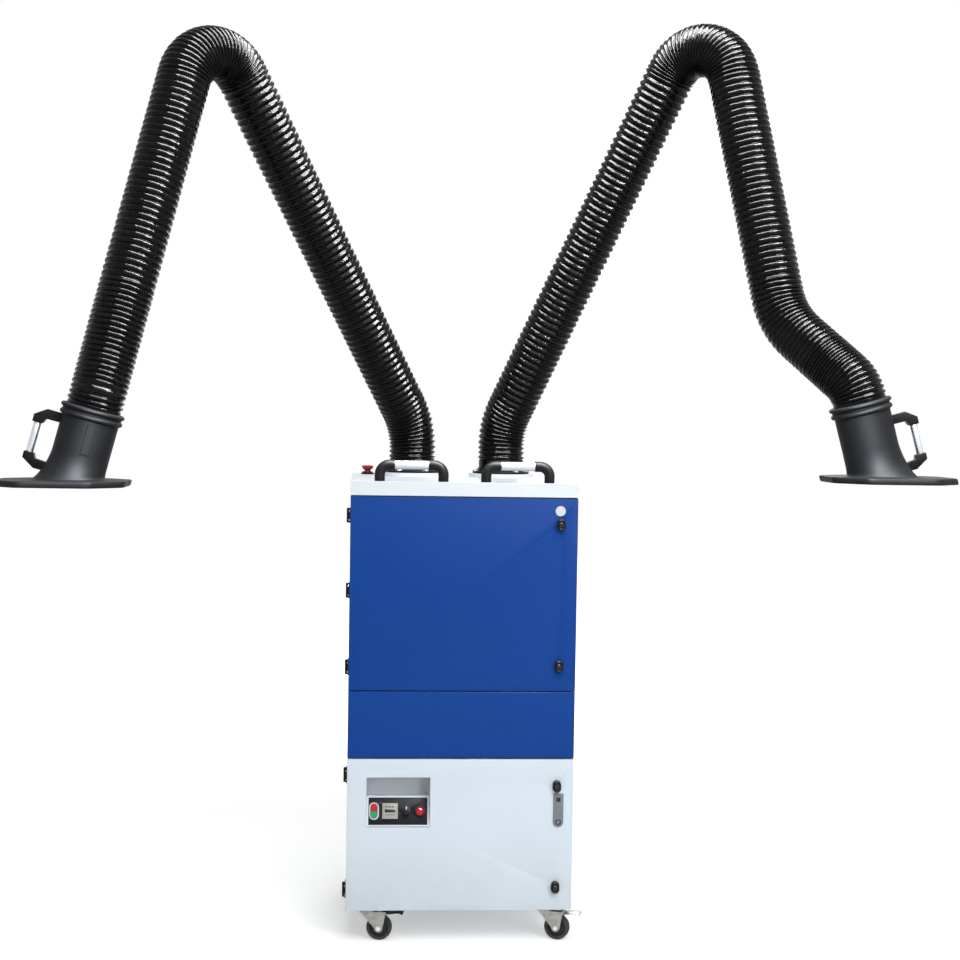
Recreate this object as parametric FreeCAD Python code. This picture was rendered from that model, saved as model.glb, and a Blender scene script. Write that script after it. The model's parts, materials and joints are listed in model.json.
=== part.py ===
"""Twin-arm mobile welding fume extractor.

Millimetres. The origin is on the floor under the middle of the cabinet, +X to the right,
+Y to the back and +Z up. The doors face -Y.
"""
import FreeCAD, Part
import math
import os

V = FreeCAD.Vector
UP = V(0, 0, 1)

# Cabinet
cabinet_width = 700
cabinet_depth = 700
castor_height = 105
lower_door_height = 471
middle_panel_height = 205
upper_door_height = 595
front_gap = 4
cover_height = 43
shell_sheet = 2
cover_sheet = 2
door_sheet = 1.5
door_depth = 20
seal_gap = 0.5
frame_flange = 25
exhaust_slot_count = 7
exhaust_slot_share = 0.55
cut_overrun = 5

# Door hinges
hinge_height = 45
hinge_reach = 6
hinge_leaf = 3
hinge_leaf_width = 28
knuckle_radius = 5.5
knuckle_room = 0.4
hinge_pin_radius = 2.5
running_fit = 0.05
upper_hinge_shares = (0.116, 0.513, 0.901)
lower_hinge_shares = (0.132, 0.890)

# Quarter-turn latches
latch_inset = 52
latch_width = 25
latch_height = 36
latch_depth = 15
latch_shaft_radius = 5
latch_gap = 0.3
cam_length = 44
cam_width = 15
cam_thickness = 4
cam_room = 3
upper_latch_shares = (0.131, 0.866)
lower_latch_shares = (0.155, 0.824)

# Control pocket in the lower door
window_inset = 60
window_width = 196
window_drop = 57
window_height = 155
pocket_sheet = 1.5
pocket_depth = 62
pocket_shelf_rise = 90
plate_setback = 38
plate_lip = 2
control_plate_width = 182
control_plate_height = 84
control_plate_thickness = 2
meter_side = 48
meter_depth = 9
button_radius = 10.5
button_cap = 6
button_travel = 3
button_stem_radius = 4
button_stem_length = 16
button_spacing = 23
button_guide_wall = 4
knob_radius = 14
knob_base = 7
knob_bar_width = 8
knob_bar_height = 10
lamp_radius = 14
lamp_rim = 5
lamp_dome = 7
start_column_share = -0.405
meter_column_share = -0.134
knob_column_share = 0.141
lamp_column_share = 0.374

# Emergency stop on the top cover
estop_radius = 20
estop_cap = 14
estop_stem_radius = 11
estop_stem_length = 30
estop_travel = 5
estop_pressed_stand = 11
estop_side_inset = 51
estop_back_inset = 75

# Fan and filter inside
deck_sheet = 2
deck_rise = 12
filter_radius = 205
filter_pleat_depth = 34
filter_wall = 22
filter_height = 560
filter_cap = 18
filter_pleat_count = 40
filter_seat_lip = 8
inside_y = 20
fan_radius = 215
fan_height = 124
fan_sheet = 2
fan_inlet_radius = 125
fan_outlet_width = 150
impeller_radius = 182
impeller_height = 84
impeller_plate = 3
impeller_eye_radius = 118
impeller_hub_radius = 30
impeller_clearance = 16
blade_count = 10
blade_root_radius = 100
blade_thickness = 3
blade_angle = 32
shaft_radius = 12
motor_radius = 95
motor_length = 210
motor_flange_radius = 122
motor_flange = 10
motor_box_width = 90
motor_box_depth = 46
motor_box_height = 90
gland_radius = 15
gland_length = 26
gland_bore = 6
gland_inset = 100
gland_height = 230

# Push handles on the top cover
handle_offset = 164
handle_spacing = 196
handle_setback = 26
handle_tube_radius = 16
handle_rise = 50
handle_bend_radius = 30
handle_socket_length = 46
handle_socket_depth = 15
handle_grip_radius = 13.5

# Castors
castor_inset = 70
castor_trail = 36
castor_plate_length = 92
castor_plate_width = 78
castor_plate = 4
castor_bearing_radius = 26
castor_bearing_height = 9
kingpin_radius = 6
kingpin_head_radius = 10
kingpin_head = 4
fork_gap = 0.4
fork_crown = 5
fork_sheet = 3
fork_inner_width = 33
fork_crown_half_length = 24
fork_foot_radius = 13
axle_radius = 4
axle_overhang = 4
wheel_radius = 40
wheel_width = 27
wheel_web = 12
wheel_rim_radius = 29
wheel_hub_radius = 12
wheel_side_gap = 0.3
pedal_pivot_offset = 18
pedal_pivot_drop = 5
pedal_pin_radius = 3
pedal_hub_radius = 5.5
pedal_reach = 112
pedal_width = 44
pedal_sheet = 3
pedal_rise = 5
pedal_toe = 14
left_castor_turn = -10
right_castor_turn = -22

# Arm bases
arm_offset = 150
arm_back_inset = 190
boss_radius = 108
boss_height = 12
base_flange_radius = 95
base_flange = 8
base_bolt_count = 6
base_bolt_radius = 6
base_bolt_head = 5
base_bolt_circle = 87
swivel_ring_radius = 79
swivel_ring = 10
swivel_gap = 0.3
swivel_wall = 3
swivel_tube_rise = 58
duct_room = 1

# Ribbed hose
hose_crest_radius = 78
hose_valley_radius = 71.5
hose_bore_radius = 68
hose_fit = 0.3
hose_cuff = 28
hood_cuff = 10
hose_cuff_radius = 75
cuff_step = 1.5
straight_pitch = 22
elbow_pitch = 14
base_pitch = 17
wrist_pitch = 17
rib_along_shares = (0.0, 0.28, 0.58, 0.86)
base_bend_radius = 230
elbow_bend_radius = 125
first_wrist_radius = 230
second_wrist_radius = 95
base_hose_tail = 108
elbow_hose_margin = 15
wrist_hose_lead = 112

# Arm links, inside the hoses
shoulder_rise = 170
lower_link_length = 1440
upper_link_length = 915
link_width = 20
link_wall = 2
eye_radius = 12
eye_width = 14
fork_side_gap = 0.3
fork_plate = 4
fork_length = 44
fork_lap = 24
tongue_length = 48
link_pin_radius = 5
link_pin_head = 3
elbow_pivot_offset = 46
bracket_bar = 10

# Hoods
pivot_above_collar = 50
hood_spigot = 8
hood_ring_radius = 89
hood_ring = 13
hood_ring_groove = 7
hood_groove_radius = 82
hood_throat_radius = 79
hood_throat_length = 130
hood_flare_radius = 104
hood_wall = 4
hood_lean = 15
hood_bar_drop = 34
hood_bar_width = 14
flange_handle_reach = 212
flange_arm_reach = 152
flange_half_depth = 155
flange_corner = 82
flange_height = 18
flange_skin = 4
flange_lip = 5
hood_handle_reach = 58
hood_handle_span = 168
hood_handle_width = 24
hood_grip_radius = 10.5
hood_handle_seat = 0.2
handle_foot_depth = 14
top_bracket_shares = ((0.0, 0.0), (0.70, 0.0), (1.24, 0.13), (1.24, 0.25), (0.76, 0.25), (0.64, 0.16),
                      (0.0, 0.16))
foot_bracket_shares = ((0.76, 0.76), (1.24, 0.76), (1.24, 0.87), (0.62, 1.0), (0.0, 1.0), (0.0, 0.86),
                       (0.66, 0.84))
grip_end_shares = (0.25, 0.76)
flare_shares = (0.3, 0.55, 0.75, 0.9, 1.0)

# How each arm stands: swing forward from the cabinet's side, then the lean of each stretch from the vertical. The
# two hoods differ a little in height and in how far below the collar their handle starts.
ARMS = {
    "left": {"side": -1, "swing": 45, "lower": 36.3, "fore": 17.5, "neck": 17.5, "neck_length": 198,
             "hood_height": 217, "handle_top": 36},
    "right": {"side": 1, "swing": 45, "lower": 31.2, "fore": 14.1, "neck": 51.8, "neck_length": 309,
              "hood_height": 229, "handle_top": 57},
}

# Levels and planes that follow from the sizes
half_width = cabinet_width / 2
front = -cabinet_depth / 2
back = cabinet_depth / 2
arm_y = back - arm_back_inset
frame_front = front + door_depth + seal_gap
lower_door_bottom = castor_height + front_gap
lower_door_top = lower_door_bottom + lower_door_height
middle_bottom = lower_door_top + front_gap
middle_top = middle_bottom + middle_panel_height
upper_door_bottom = middle_top + front_gap
upper_door_top = upper_door_bottom + upper_door_height
body_top = upper_door_top + front_gap
cover_top = body_top + cover_height
estop_stand = estop_pressed_stand + estop_travel
hinge_x = -half_width - hinge_reach
hinge_y = frame_front - seal_gap / 2
latch_x = half_width - latch_inset
deck_bottom = middle_bottom + deck_rise
deck_top = deck_bottom + deck_sheet
fan_bottom = deck_bottom - fan_height
flange_top = cover_top + boss_height + base_flange
swivel_base = flange_top + swivel_gap
hose_base = swivel_base + swivel_ring
swivel_tube_radius = hose_bore_radius - hose_fit
castor_bearing_bottom = castor_height - castor_plate - castor_bearing_height
crown_top = castor_bearing_bottom - fork_gap
crown_bottom = crown_top - fork_crown


def box(x0, x1, y0, y1, z0, z1):
    return Part.makeBox(x1 - x0, y1 - y0, z1 - z0, V(x0, y0, z0))


def rod(radius, start, end):
    return Part.makeCylinder(radius, (end - start).Length, start, end - start)


def prism(points, along):
    return Part.Face(Part.makePolygon(points + [points[0]])).extrude(along)


def fuse(shapes):
    return shapes[0].multiFuse(shapes[1:]).removeSplitter()


def save(name, solids):
    shape = solids[0] if len(solids) == 1 else Part.makeCompound(solids)
    shape.exportStep("parts/" + name + ".step")
    print(name, "solids", len(shape.Solids), "valid", shape.isValid(), "litres", round(shape.Volume / 1e6, 4))


def at_share(start, end, share):
    return start + (end - start) * share


# Cabinet shell, cover and panels
def cabinet_shell():
    """The cabinet's sheets: sides, floor, slotted back, and the flanged frames of its front and top."""
    inner_x = half_width - shell_sheet
    open_x = half_width - frame_flange
    floor_top = castor_height + shell_sheet
    frame_back = frame_front + shell_sheet
    wall_front = back - shell_sheet
    top_under = body_top - shell_sheet
    back_sheet = box(-inner_x, inner_x, wall_front, back, floor_top, body_top)
    sheets = [box(-inner_x, inner_x, frame_front, back, castor_height, floor_top),
              back_sheet.cut(Part.makeCompound(exhaust_slots() + [gland_hole()])),
              box(-open_x, open_x, frame_back, frame_front + frame_flange, top_under, body_top),
              box(-open_x, open_x, back - frame_flange, wall_front, top_under, body_top)]
    for side_x, inside_x, edge_x in ((-half_width, -inner_x, -open_x), (half_width, inner_x, open_x)):
        sheets += [box(min(side_x, inside_x), max(side_x, inside_x), frame_front, back, castor_height,
                       body_top),
                   box(min(inside_x, edge_x), max(inside_x, edge_x), frame_front, frame_back, floor_top,
                       body_top),
                   box(min(inside_x, edge_x), max(inside_x, edge_x), frame_back, wall_front, top_under,
                       body_top)]
    for bottom, top in ((floor_top, lower_door_bottom + frame_flange),
                        (lower_door_top - frame_flange, upper_door_bottom + frame_flange),
                        (upper_door_top - frame_flange, body_top)):
        sheets.append(box(-open_x, open_x, frame_front, frame_back, bottom, top))
    return sheets


def exhaust_slots():
    left = fan_radius - fan_outlet_width + fan_sheet
    right = fan_radius - fan_sheet
    pitch = (fan_height - fan_sheet * 2) / exhaust_slot_count
    slots = []
    for row in range(exhaust_slot_count):
        bottom = fan_bottom + fan_sheet + pitch * row + pitch * (1 - exhaust_slot_share) / 2
        slots.append(box(left, right, back - shell_sheet - cut_overrun, back + cut_overrun,
                         bottom, bottom + pitch * exhaust_slot_share))
    return slots


def gland_place():
    return V(-half_width + gland_inset, back, gland_height)


def gland_hole():
    start = gland_place() - V(0, shell_sheet + cut_overrun, 0)
    return rod(gland_bore, start, gland_place() + V(0, cut_overrun, 0))


def cable_gland():
    start = gland_place()
    nut_end = start + V(0, gland_length / 2, 0)
    end = start + V(0, gland_length, 0)
    corners = [start + V(gland_radius * math.cos(turn), 0, gland_radius * math.sin(turn))
               for turn in (math.radians(60 * corner) for corner in range(6))]
    nut = prism(corners, nut_end - start)
    dome = Part.makeCone(gland_radius * math.cos(math.radians(30)), gland_bore * 2, gland_length / 2,
                         nut_end, V(0, 1, 0))
    return fuse([nut, dome]).cut(rod(gland_bore, start - V(0, cut_overrun, 0), end + V(0, cut_overrun, 0)))


def arm_base(arm):
    return V(arm["side"] * arm_offset, arm_y, 0)


def estop_place():
    return V(-half_width + estop_side_inset, back - estop_back_inset, cover_top)


def top_cover():
    cover = box(-half_width, half_width, front, back, body_top, cover_top)
    inner_x = half_width - cover_sheet
    cover = cover.cut(box(-inner_x, inner_x, front + cover_sheet, back - cover_sheet,
                          body_top - cut_overrun, cover_top - cover_sheet))
    for arm in ARMS.values():
        foot = arm_base(arm) + UP * cover_top
        cover = cover.fuse(rod(boss_radius, foot, foot + UP * boss_height))
        cover = cover.cut(rod(swivel_tube_radius + duct_room, foot - UP * (cover_sheet + cut_overrun),
                              foot + UP * (boss_height + cut_overrun)))
    hole = estop_place()
    return cover.cut(rod(estop_stem_radius + running_fit, hole - UP * (cover_sheet + cut_overrun),
                         hole + UP * cut_overrun)).removeSplitter()


def pan(bottom, top):
    """A bent sheet panel whose open side faces the cabinet."""
    outer = box(-half_width, half_width, front, front + door_depth, bottom, top)
    inner_x = half_width - door_sheet
    return outer.cut(box(-inner_x, inner_x, front + door_sheet, front + door_depth + cut_overrun,
                         bottom + door_sheet, top - door_sheet))


def middle_panel():
    panel = pan(middle_bottom, middle_top)
    return panel.fuse(box(-half_width, half_width, front + door_depth - door_sheet, frame_front,
                          middle_bottom, middle_top)).removeSplitter()


def door(bottom, top, shares):
    leaf = pan(bottom, top)
    for share in shares:
        place = V(latch_x, front, at_share(bottom, top, share))
        leaf = leaf.cut(rod(latch_shaft_radius + running_fit, place - V(0, cut_overrun, 0),
                            place + V(0, door_sheet + cut_overrun, 0)))
    return leaf


# Door hinges: one half on the cabinet's side, the other on the door's edge
def hinge_thirds(centre):
    third = hinge_height / 3
    low = centre - hinge_height / 2
    return [(low, low + third), (low + third, low + third * 2), (low + third * 2, low + hinge_height)]


def on_axis(radius, low, high):
    return rod(radius, V(hinge_x, hinge_y, low), V(hinge_x, hinge_y, high))


def cabinet_hinge_half(centre):
    low, middle, high = hinge_thirds(centre)
    leaf = box(-half_width - hinge_leaf, -half_width, frame_front, frame_front + hinge_leaf_width, low[0],
               high[1])
    for third in (low, high):
        leaf = leaf.cut(on_axis(knuckle_radius + knuckle_room, third[0], third[1]))
    knuckle = on_axis(knuckle_radius, middle[0], middle[1])
    return fuse([leaf, knuckle]).cut(on_axis(hinge_pin_radius + running_fit, low[0], high[1]))


def door_hinge_half(centre):
    low, middle, high = hinge_thirds(centre)
    leaf = box(-half_width - hinge_leaf, -half_width, front, front + door_depth, low[0], high[1])
    leaf = leaf.cut(on_axis(knuckle_radius + knuckle_room, middle[0], middle[1]))
    knuckles = [on_axis(knuckle_radius, low[0], low[1] - running_fit),
                on_axis(knuckle_radius, high[0] + running_fit, high[1])]
    pin = on_axis(hinge_pin_radius, low[0], high[1])
    return fuse([leaf, pin] + knuckles)


def latch(bottom, top, share):
    """An oval knob, its shaft and the cam behind the door. The cam stands upright when the door is free."""
    centre = V(latch_x, 0, at_share(bottom, top, share))
    knob_front = front - latch_depth
    knob_back = front - latch_gap
    round_rise = (latch_height - latch_width) / 2
    lobes = [rod(latch_width / 2, centre + V(0, knob_front, rise), centre + V(0, knob_back, rise))
             for rise in (-round_rise, round_rise)]
    half = latch_width / 2
    middle = box(latch_x - half, latch_x + half, knob_front, knob_back, centre.z - round_rise,
                 centre.z + round_rise)
    cam_front = frame_front + shell_sheet + cam_room
    cam_back = cam_front + cam_thickness
    shaft = rod(latch_shaft_radius, centre + V(0, knob_front, 0), centre + V(0, cam_back, 0))
    cam = box(latch_x - cam_width / 2, latch_x + cam_width / 2, cam_front, cam_back,
              centre.z - cam_width / 2, centre.z + cam_length)
    return fuse(lobes + [middle, shaft, cam])


# Control pocket and what sits on its plate
window_left = -half_width + window_inset
window_right = window_left + window_width
window_top = lower_door_top - window_drop
window_bottom = window_top - window_height
pocket_front = front + door_sheet
slope_run = plate_setback - plate_lip
slope_length = math.hypot(slope_run, pocket_shelf_rise)
slope_up = V(0, slope_run / slope_length, pocket_shelf_rise / slope_length)
slope_out = V(0, -slope_up.z, slope_up.y)


def slope_y(level):
    return pocket_front + plate_lip + (level - window_bottom) * slope_run / pocket_shelf_rise


def control_pocket():
    deep = pocket_front + pocket_depth
    shelf = window_bottom + pocket_shelf_rise
    under = window_bottom - pocket_sheet
    under_shelf = shelf - pocket_sheet
    over = window_top + pocket_sheet
    slope_wall = pocket_sheet * slope_length / pocket_shelf_rise
    outer = [(pocket_front, under), (pocket_front, over), (deep + pocket_sheet, over),
             (deep + pocket_sheet, under_shelf), (slope_y(under_shelf) + slope_wall, under_shelf),
             (slope_y(under) + slope_wall, under)]
    hollow = [(pocket_front - cut_overrun, window_bottom), (pocket_front - cut_overrun, window_top),
              (deep, window_top), (deep, shelf), (slope_y(shelf), shelf),
              (slope_y(window_bottom), window_bottom)]
    outer_left = window_left - pocket_sheet
    body = prism([V(outer_left, y, z) for y, z in outer], V(window_width + pocket_sheet * 2, 0, 0))
    body = body.cut(prism([V(window_left, y, z) for y, z in hollow], V(window_width, 0, 0)))
    return body.cut(Part.makeCompound(stem_holes()))


def plate_middle():
    """The middle of the control plate's face."""
    middle = V((window_left + window_right) / 2, slope_y(window_bottom), window_bottom)
    return middle + slope_up * (slope_length / 2) + slope_out * control_plate_thickness


def plate_point(column_share, rise, stand):
    """A point over the control plate: its column, its rise up the slope and its stand off the face."""
    return plate_middle() + V(column_share * control_plate_width, 0, 0) + slope_up * rise + slope_out * stand


def stem_holes():
    """Bores for the two push buttons and the selector's shaft."""
    places = [(start_column_share, button_spacing / 2), (start_column_share, -button_spacing / 2),
              (knob_column_share, 0)]
    reach = control_plate_thickness + pocket_sheet + cut_overrun
    return [rod(button_stem_radius + running_fit, plate_point(column, rise, -reach),
                plate_point(column, rise, reach))
            for column, rise in places]


def sloped_box(column_share, width, height, low, high):
    corner = plate_point(column_share, -height / 2, low) - V(width / 2, 0, 0)
    points = [corner, corner + V(width, 0, 0), corner + V(width, 0, 0) + slope_up * height,
              corner + slope_up * height]
    return prism(points, slope_out * (high - low))


def control_plate():
    plate = sloped_box(0, control_plate_width, control_plate_height, -control_plate_thickness, 0)
    guide_radius = button_radius + running_fit * 2
    guide = []
    for rise in (button_spacing / 2, -button_spacing / 2):
        guide.append(rod(guide_radius + button_guide_wall, plate_point(start_column_share, rise, 0),
                         plate_point(start_column_share, rise, button_cap)))
    guide_width = (guide_radius + button_guide_wall) * 2
    guide.append(sloped_box(start_column_share, guide_width, button_spacing, 0, button_cap))
    plate = fuse([plate] + guide)
    for rise in (button_spacing / 2, -button_spacing / 2):
        plate = plate.cut(rod(guide_radius, plate_point(start_column_share, rise, 0),
                              plate_point(start_column_share, rise, button_cap + cut_overrun)))
    return plate.cut(Part.makeCompound(stem_holes()))


def push_button(rise):
    low = plate_point(start_column_share, rise, button_travel + seal_gap)
    high = plate_point(start_column_share, rise, button_travel + seal_gap + button_cap)
    tail = plate_point(start_column_share, rise, -button_stem_length)
    return fuse([rod(button_radius, low, high), rod(button_stem_radius, tail, low)])


def selector_knob():
    low = plate_point(knob_column_share, 0, seal_gap)
    high = plate_point(knob_column_share, 0, seal_gap + knob_base)
    tail = plate_point(knob_column_share, 0, -button_stem_length)
    bar = sloped_box(knob_column_share, knob_bar_width, knob_radius * 2, seal_gap + knob_base,
                     seal_gap + knob_base + knob_bar_height)
    bar = bar.common(rod(knob_radius, low, high + slope_out * knob_bar_height))
    return fuse([rod(knob_radius, low, high), bar, rod(button_stem_radius, tail, low)])


def pilot_lamp():
    low = plate_point(lamp_column_share, 0, 0)
    rim_top = plate_point(lamp_column_share, 0, lamp_rim)
    dome_radius = (lamp_radius ** 2 + lamp_dome ** 2) / (lamp_dome * 2)
    ball = Part.makeSphere(dome_radius, rim_top + slope_out * (lamp_dome - dome_radius))
    cap = ball.common(rod(lamp_radius, rim_top, rim_top + slope_out * lamp_dome))
    return fuse([rod(lamp_radius, low, rim_top), cap])


def lower_door():
    leaf = door(lower_door_bottom, lower_door_top, lower_latch_shares)
    return leaf.cut(box(window_left, window_right, front - cut_overrun, pocket_front + cut_overrun,
                        window_bottom, window_top))


def estop_button():
    place = estop_place()
    low = place + UP * estop_stand
    cap = rod(estop_radius, low, low + UP * estop_cap)
    cap = cap.makeFillet(estop_cap / 3,
                         [edge for edge in cap.Edges if edge.Closed and edge.BoundBox.ZMin > low.z])
    return fuse([cap, rod(estop_stem_radius, place - UP * (estop_stem_length - estop_stand), low)])


# Inside the cabinet
def fan_deck():
    inner_x = half_width - shell_sheet
    deck = box(-inner_x, inner_x, frame_front + shell_sheet, back - shell_sheet, deck_bottom, deck_top)
    middle = V(0, inside_y, deck_bottom)
    return deck.cut(rod(fan_inlet_radius, middle - UP * cut_overrun,
                        middle + UP * (deck_sheet + cut_overrun)))


def filter_cartridge():
    base = V(0, inside_y, deck_top)
    pack_low = base + UP * filter_cap
    pack_high = base + UP * (filter_height - filter_cap)
    points = []
    for corner in range(filter_pleat_count * 2):
        radius = filter_radius - filter_seat_lip - (filter_pleat_depth if corner % 2 else 0)
        turn = math.pi * corner / filter_pleat_count
        points.append(pack_low + V(radius * math.cos(turn), radius * math.sin(turn), 0))
    bore = filter_radius - filter_seat_lip - filter_pleat_depth - filter_wall
    pleats = prism(points, pack_high - pack_low).cut(rod(bore, pack_low, pack_high))
    foot = rod(filter_radius, base, pack_low).cut(rod(fan_inlet_radius, base, pack_low))
    lid = rod(filter_radius, pack_high, base + UP * filter_height)
    return [pleats, foot, lid]


def scroll(grow, low, high):
    """The fan's scroll with its outlet duct to the back wall, grown outwards by the given amount."""
    middle = V(0, inside_y, 0)
    drum = rod(fan_radius + grow, middle + UP * low, middle + UP * high)
    duct_left = fan_radius - fan_outlet_width - grow
    return drum.fuse(box(duct_left, fan_radius + grow, inside_y, back - shell_sheet, low, high))


def fan_housing():
    middle = V(0, inside_y, 0)
    hollow = scroll(-fan_sheet, fan_bottom + fan_sheet, deck_bottom - fan_sheet)
    mouth = box(fan_radius - fan_outlet_width + fan_sheet, fan_radius - fan_sheet, back - fan_radius / 2,
                back, fan_bottom + fan_sheet, deck_bottom - fan_sheet)
    inlet = rod(fan_inlet_radius, middle + UP * (deck_bottom - fan_sheet - cut_overrun),
                middle + UP * (deck_bottom + cut_overrun))
    shaft_hole = rod(shaft_radius + running_fit, middle + UP * (fan_bottom - cut_overrun),
                     middle + UP * (fan_bottom + fan_sheet + cut_overrun))
    return scroll(0, fan_bottom, deck_bottom).cut(hollow.fuse(mouth)).cut(inlet).cut(shaft_hole)


def impeller():
    middle = V(0, inside_y, 0)
    low = fan_bottom + fan_sheet + impeller_clearance
    high = low + impeller_height
    disc = rod(impeller_radius, middle + UP * low, middle + UP * (low + impeller_plate))
    ring = rod(impeller_radius, middle + UP * (high - impeller_plate), middle + UP * high)
    ring = ring.cut(rod(impeller_eye_radius, middle + UP * (high - impeller_plate), middle + UP * high))
    hub = rod(impeller_hub_radius, middle + UP * low, middle + UP * ((low + high) / 2))
    shaft = rod(shaft_radius, middle + UP * (fan_bottom - motor_length), middle + UP * low)
    blades = []
    for index in range(blade_count):
        blade = box(blade_root_radius, impeller_radius - impeller_plate, -blade_thickness / 2,
                    blade_thickness / 2,
                    low, high)
        tip = V(impeller_radius - impeller_plate, 0, 0)
        blade.rotate(tip, UP, blade_angle)
        blade.rotate(V(0, 0, 0), UP, 360 * index / blade_count)
        blade.translate(middle)
        blades.append(blade.common(rod(impeller_radius, middle + UP * low, middle + UP * high)))
    return fuse([disc, ring, hub, shaft] + blades)


def fan_motor():
    middle = V(0, inside_y, 0)
    low = fan_bottom - motor_length
    body = rod(motor_radius, middle + UP * low, middle + UP * fan_bottom)
    mount = rod(motor_flange_radius, middle + UP * (fan_bottom - motor_flange), middle + UP * fan_bottom)
    box_level = (low + fan_bottom) / 2
    terminal = box(-motor_box_width / 2, motor_box_width / 2, inside_y - motor_radius - motor_box_depth,
                   inside_y,
                   box_level - motor_box_height / 2, box_level + motor_box_height / 2)
    bore = rod(shaft_radius + running_fit, middle + UP * (low - cut_overrun),
               middle + UP * (fan_bottom + cut_overrun))
    return fuse([body, mount, terminal]).cut(bore)


# Push handles
def handle_bend(side, end):
    """One black elbow, from its foot on the cover to the socket that takes the grip."""
    foot = V(side * handle_offset + end * handle_spacing / 2, front + handle_setback, cover_top)
    inward = V(-end, 0, 0)
    corner = foot + UP * handle_rise
    arc_start = corner - UP * handle_bend_radius
    arc_end = corner + inward * handle_bend_radius
    arc_middle = corner + (inward - UP) * (handle_bend_radius * (1 - math.sqrt(0.5)))
    mouth = corner + inward * handle_socket_length
    path = Part.Wire([Part.LineSegment(foot, arc_start).toShape(),
                      Part.Arc(arc_start, arc_middle, arc_end).toShape(),
                      Part.LineSegment(arc_end, mouth).toShape()])
    ring = Part.Wire([Part.Circle(foot, UP, handle_tube_radius).toShape()])
    bend = path.makePipeShell([ring], True, False)
    socket = rod(handle_grip_radius + running_fit, mouth - inward * handle_socket_depth,
                 mouth + inward * cut_overrun)
    return bend.cut(socket)


def handle_grip(side):
    reach = handle_spacing / 2 - handle_socket_length + handle_socket_depth
    middle = V(side * handle_offset, front + handle_setback, cover_top + handle_rise)
    return rod(handle_grip_radius, middle - V(reach, 0, 0), middle + V(reach, 0, 0))


# Castors
wheel_hub_half = fork_inner_width / 2 - wheel_side_gap
pedal_pivot = V(castor_trail + pedal_pivot_offset, 0, crown_top - pedal_pivot_drop)
axle_centre = V(castor_trail, 0, wheel_radius)


def across(radius, centre, half):
    return rod(radius, centre - V(0, half, 0), centre + V(0, half, 0))


def place_castor(shape, centre, turn):
    shape.rotate(V(0, 0, 0), UP, turn)
    shape.translate(centre)
    return shape


def castor_plate_solid():
    half_length = castor_plate_length / 2
    half_plate = castor_plate_width / 2
    return box(-half_length, half_length, -half_plate, half_plate, castor_height - castor_plate,
               castor_height)


def swivel_head():
    plate_bottom = UP * (castor_height - castor_plate)
    bearing = rod(castor_bearing_radius, UP * castor_bearing_bottom, plate_bottom)
    head_top = crown_bottom - fork_gap
    pin = rod(kingpin_radius, UP * head_top, plate_bottom)
    head = rod(kingpin_head_radius, UP * (head_top - kingpin_head), UP * head_top)
    return fuse([castor_plate_solid(), bearing, pin, head])


def leg_outline(low_x, high_x, level):
    """A fork leg seen from the side, from its top edge down to the round foot at the axle."""
    foot = axle_centre
    radius = fork_foot_radius
    return [V(low_x, 0, level), V(high_x, 0, level), V(foot.x + radius, 0, foot.z),
            V(foot.x - radius, 0, foot.z)]


def fork_legs(low_x, high_x, level):
    legs = []
    for inner in (fork_inner_width / 2, -fork_inner_width / 2 - fork_sheet):
        leg = prism([point + V(0, inner, 0) for point in leg_outline(low_x, high_x, level)],
                    V(0, fork_sheet, 0))
        foot = axle_centre + V(0, inner, 0)
        legs.append(leg.fuse(rod(fork_foot_radius, foot, foot + V(0, fork_sheet, 0))))
    return legs


def axle():
    return across(axle_radius, axle_centre, fork_inner_width / 2 + fork_sheet + axle_overhang)


def swivel_fork():
    half = fork_inner_width / 2 + fork_sheet
    crown_front = -fork_crown_half_length
    crown_back = castor_trail
    crown = box(crown_front, crown_back, -half, half, crown_bottom, crown_top)
    crown = crown.cut(rod(kingpin_radius + running_fit, UP * (crown_bottom - cut_overrun),
                          UP * (crown_top + cut_overrun)))
    ear_end = pedal_pivot.x + pedal_hub_radius
    pin = across(pedal_pin_radius, pedal_pivot, half)
    return fuse([crown, axle(), pin] + fork_legs(crown_front, ear_end, crown_top))


def rigid_bracket():
    half = fork_inner_width / 2 + fork_sheet
    plate_bottom = castor_height - castor_plate
    low_x = castor_trail - castor_plate_length / 3
    high_x = castor_trail + castor_plate_length / 3
    plate = castor_plate_solid()
    plate.translate(V(castor_trail, 0, 0))
    crown = box(low_x, high_x, -half, half, plate_bottom - fork_crown, plate_bottom)
    return fuse([plate, crown, axle()] + fork_legs(low_x, high_x, plate_bottom))


def wheel():
    """A tyre and its hub in one turned section, dished on both sides."""
    half = wheel_width / 2
    web = wheel_web / 2
    crown = wheel_width / 6
    section = [(axle_radius + running_fit, -wheel_hub_half), (wheel_hub_radius, -wheel_hub_half),
               (wheel_hub_radius, -web), (wheel_rim_radius, -web), (wheel_rim_radius, -half),
               (wheel_radius - crown, -half), (wheel_radius, -half + crown), (wheel_radius, half - crown),
               (wheel_radius - crown, half), (wheel_rim_radius, half), (wheel_rim_radius, web),
               (wheel_hub_radius, web), (wheel_hub_radius, wheel_hub_half),
               (axle_radius + running_fit, wheel_hub_half)]
    points = [axle_centre + V(radius, along, 0) for radius, along in section]
    return Part.Face(Part.makePolygon(points + [points[0]])).revolve(axle_centre, V(0, 1, 0), 360)


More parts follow.
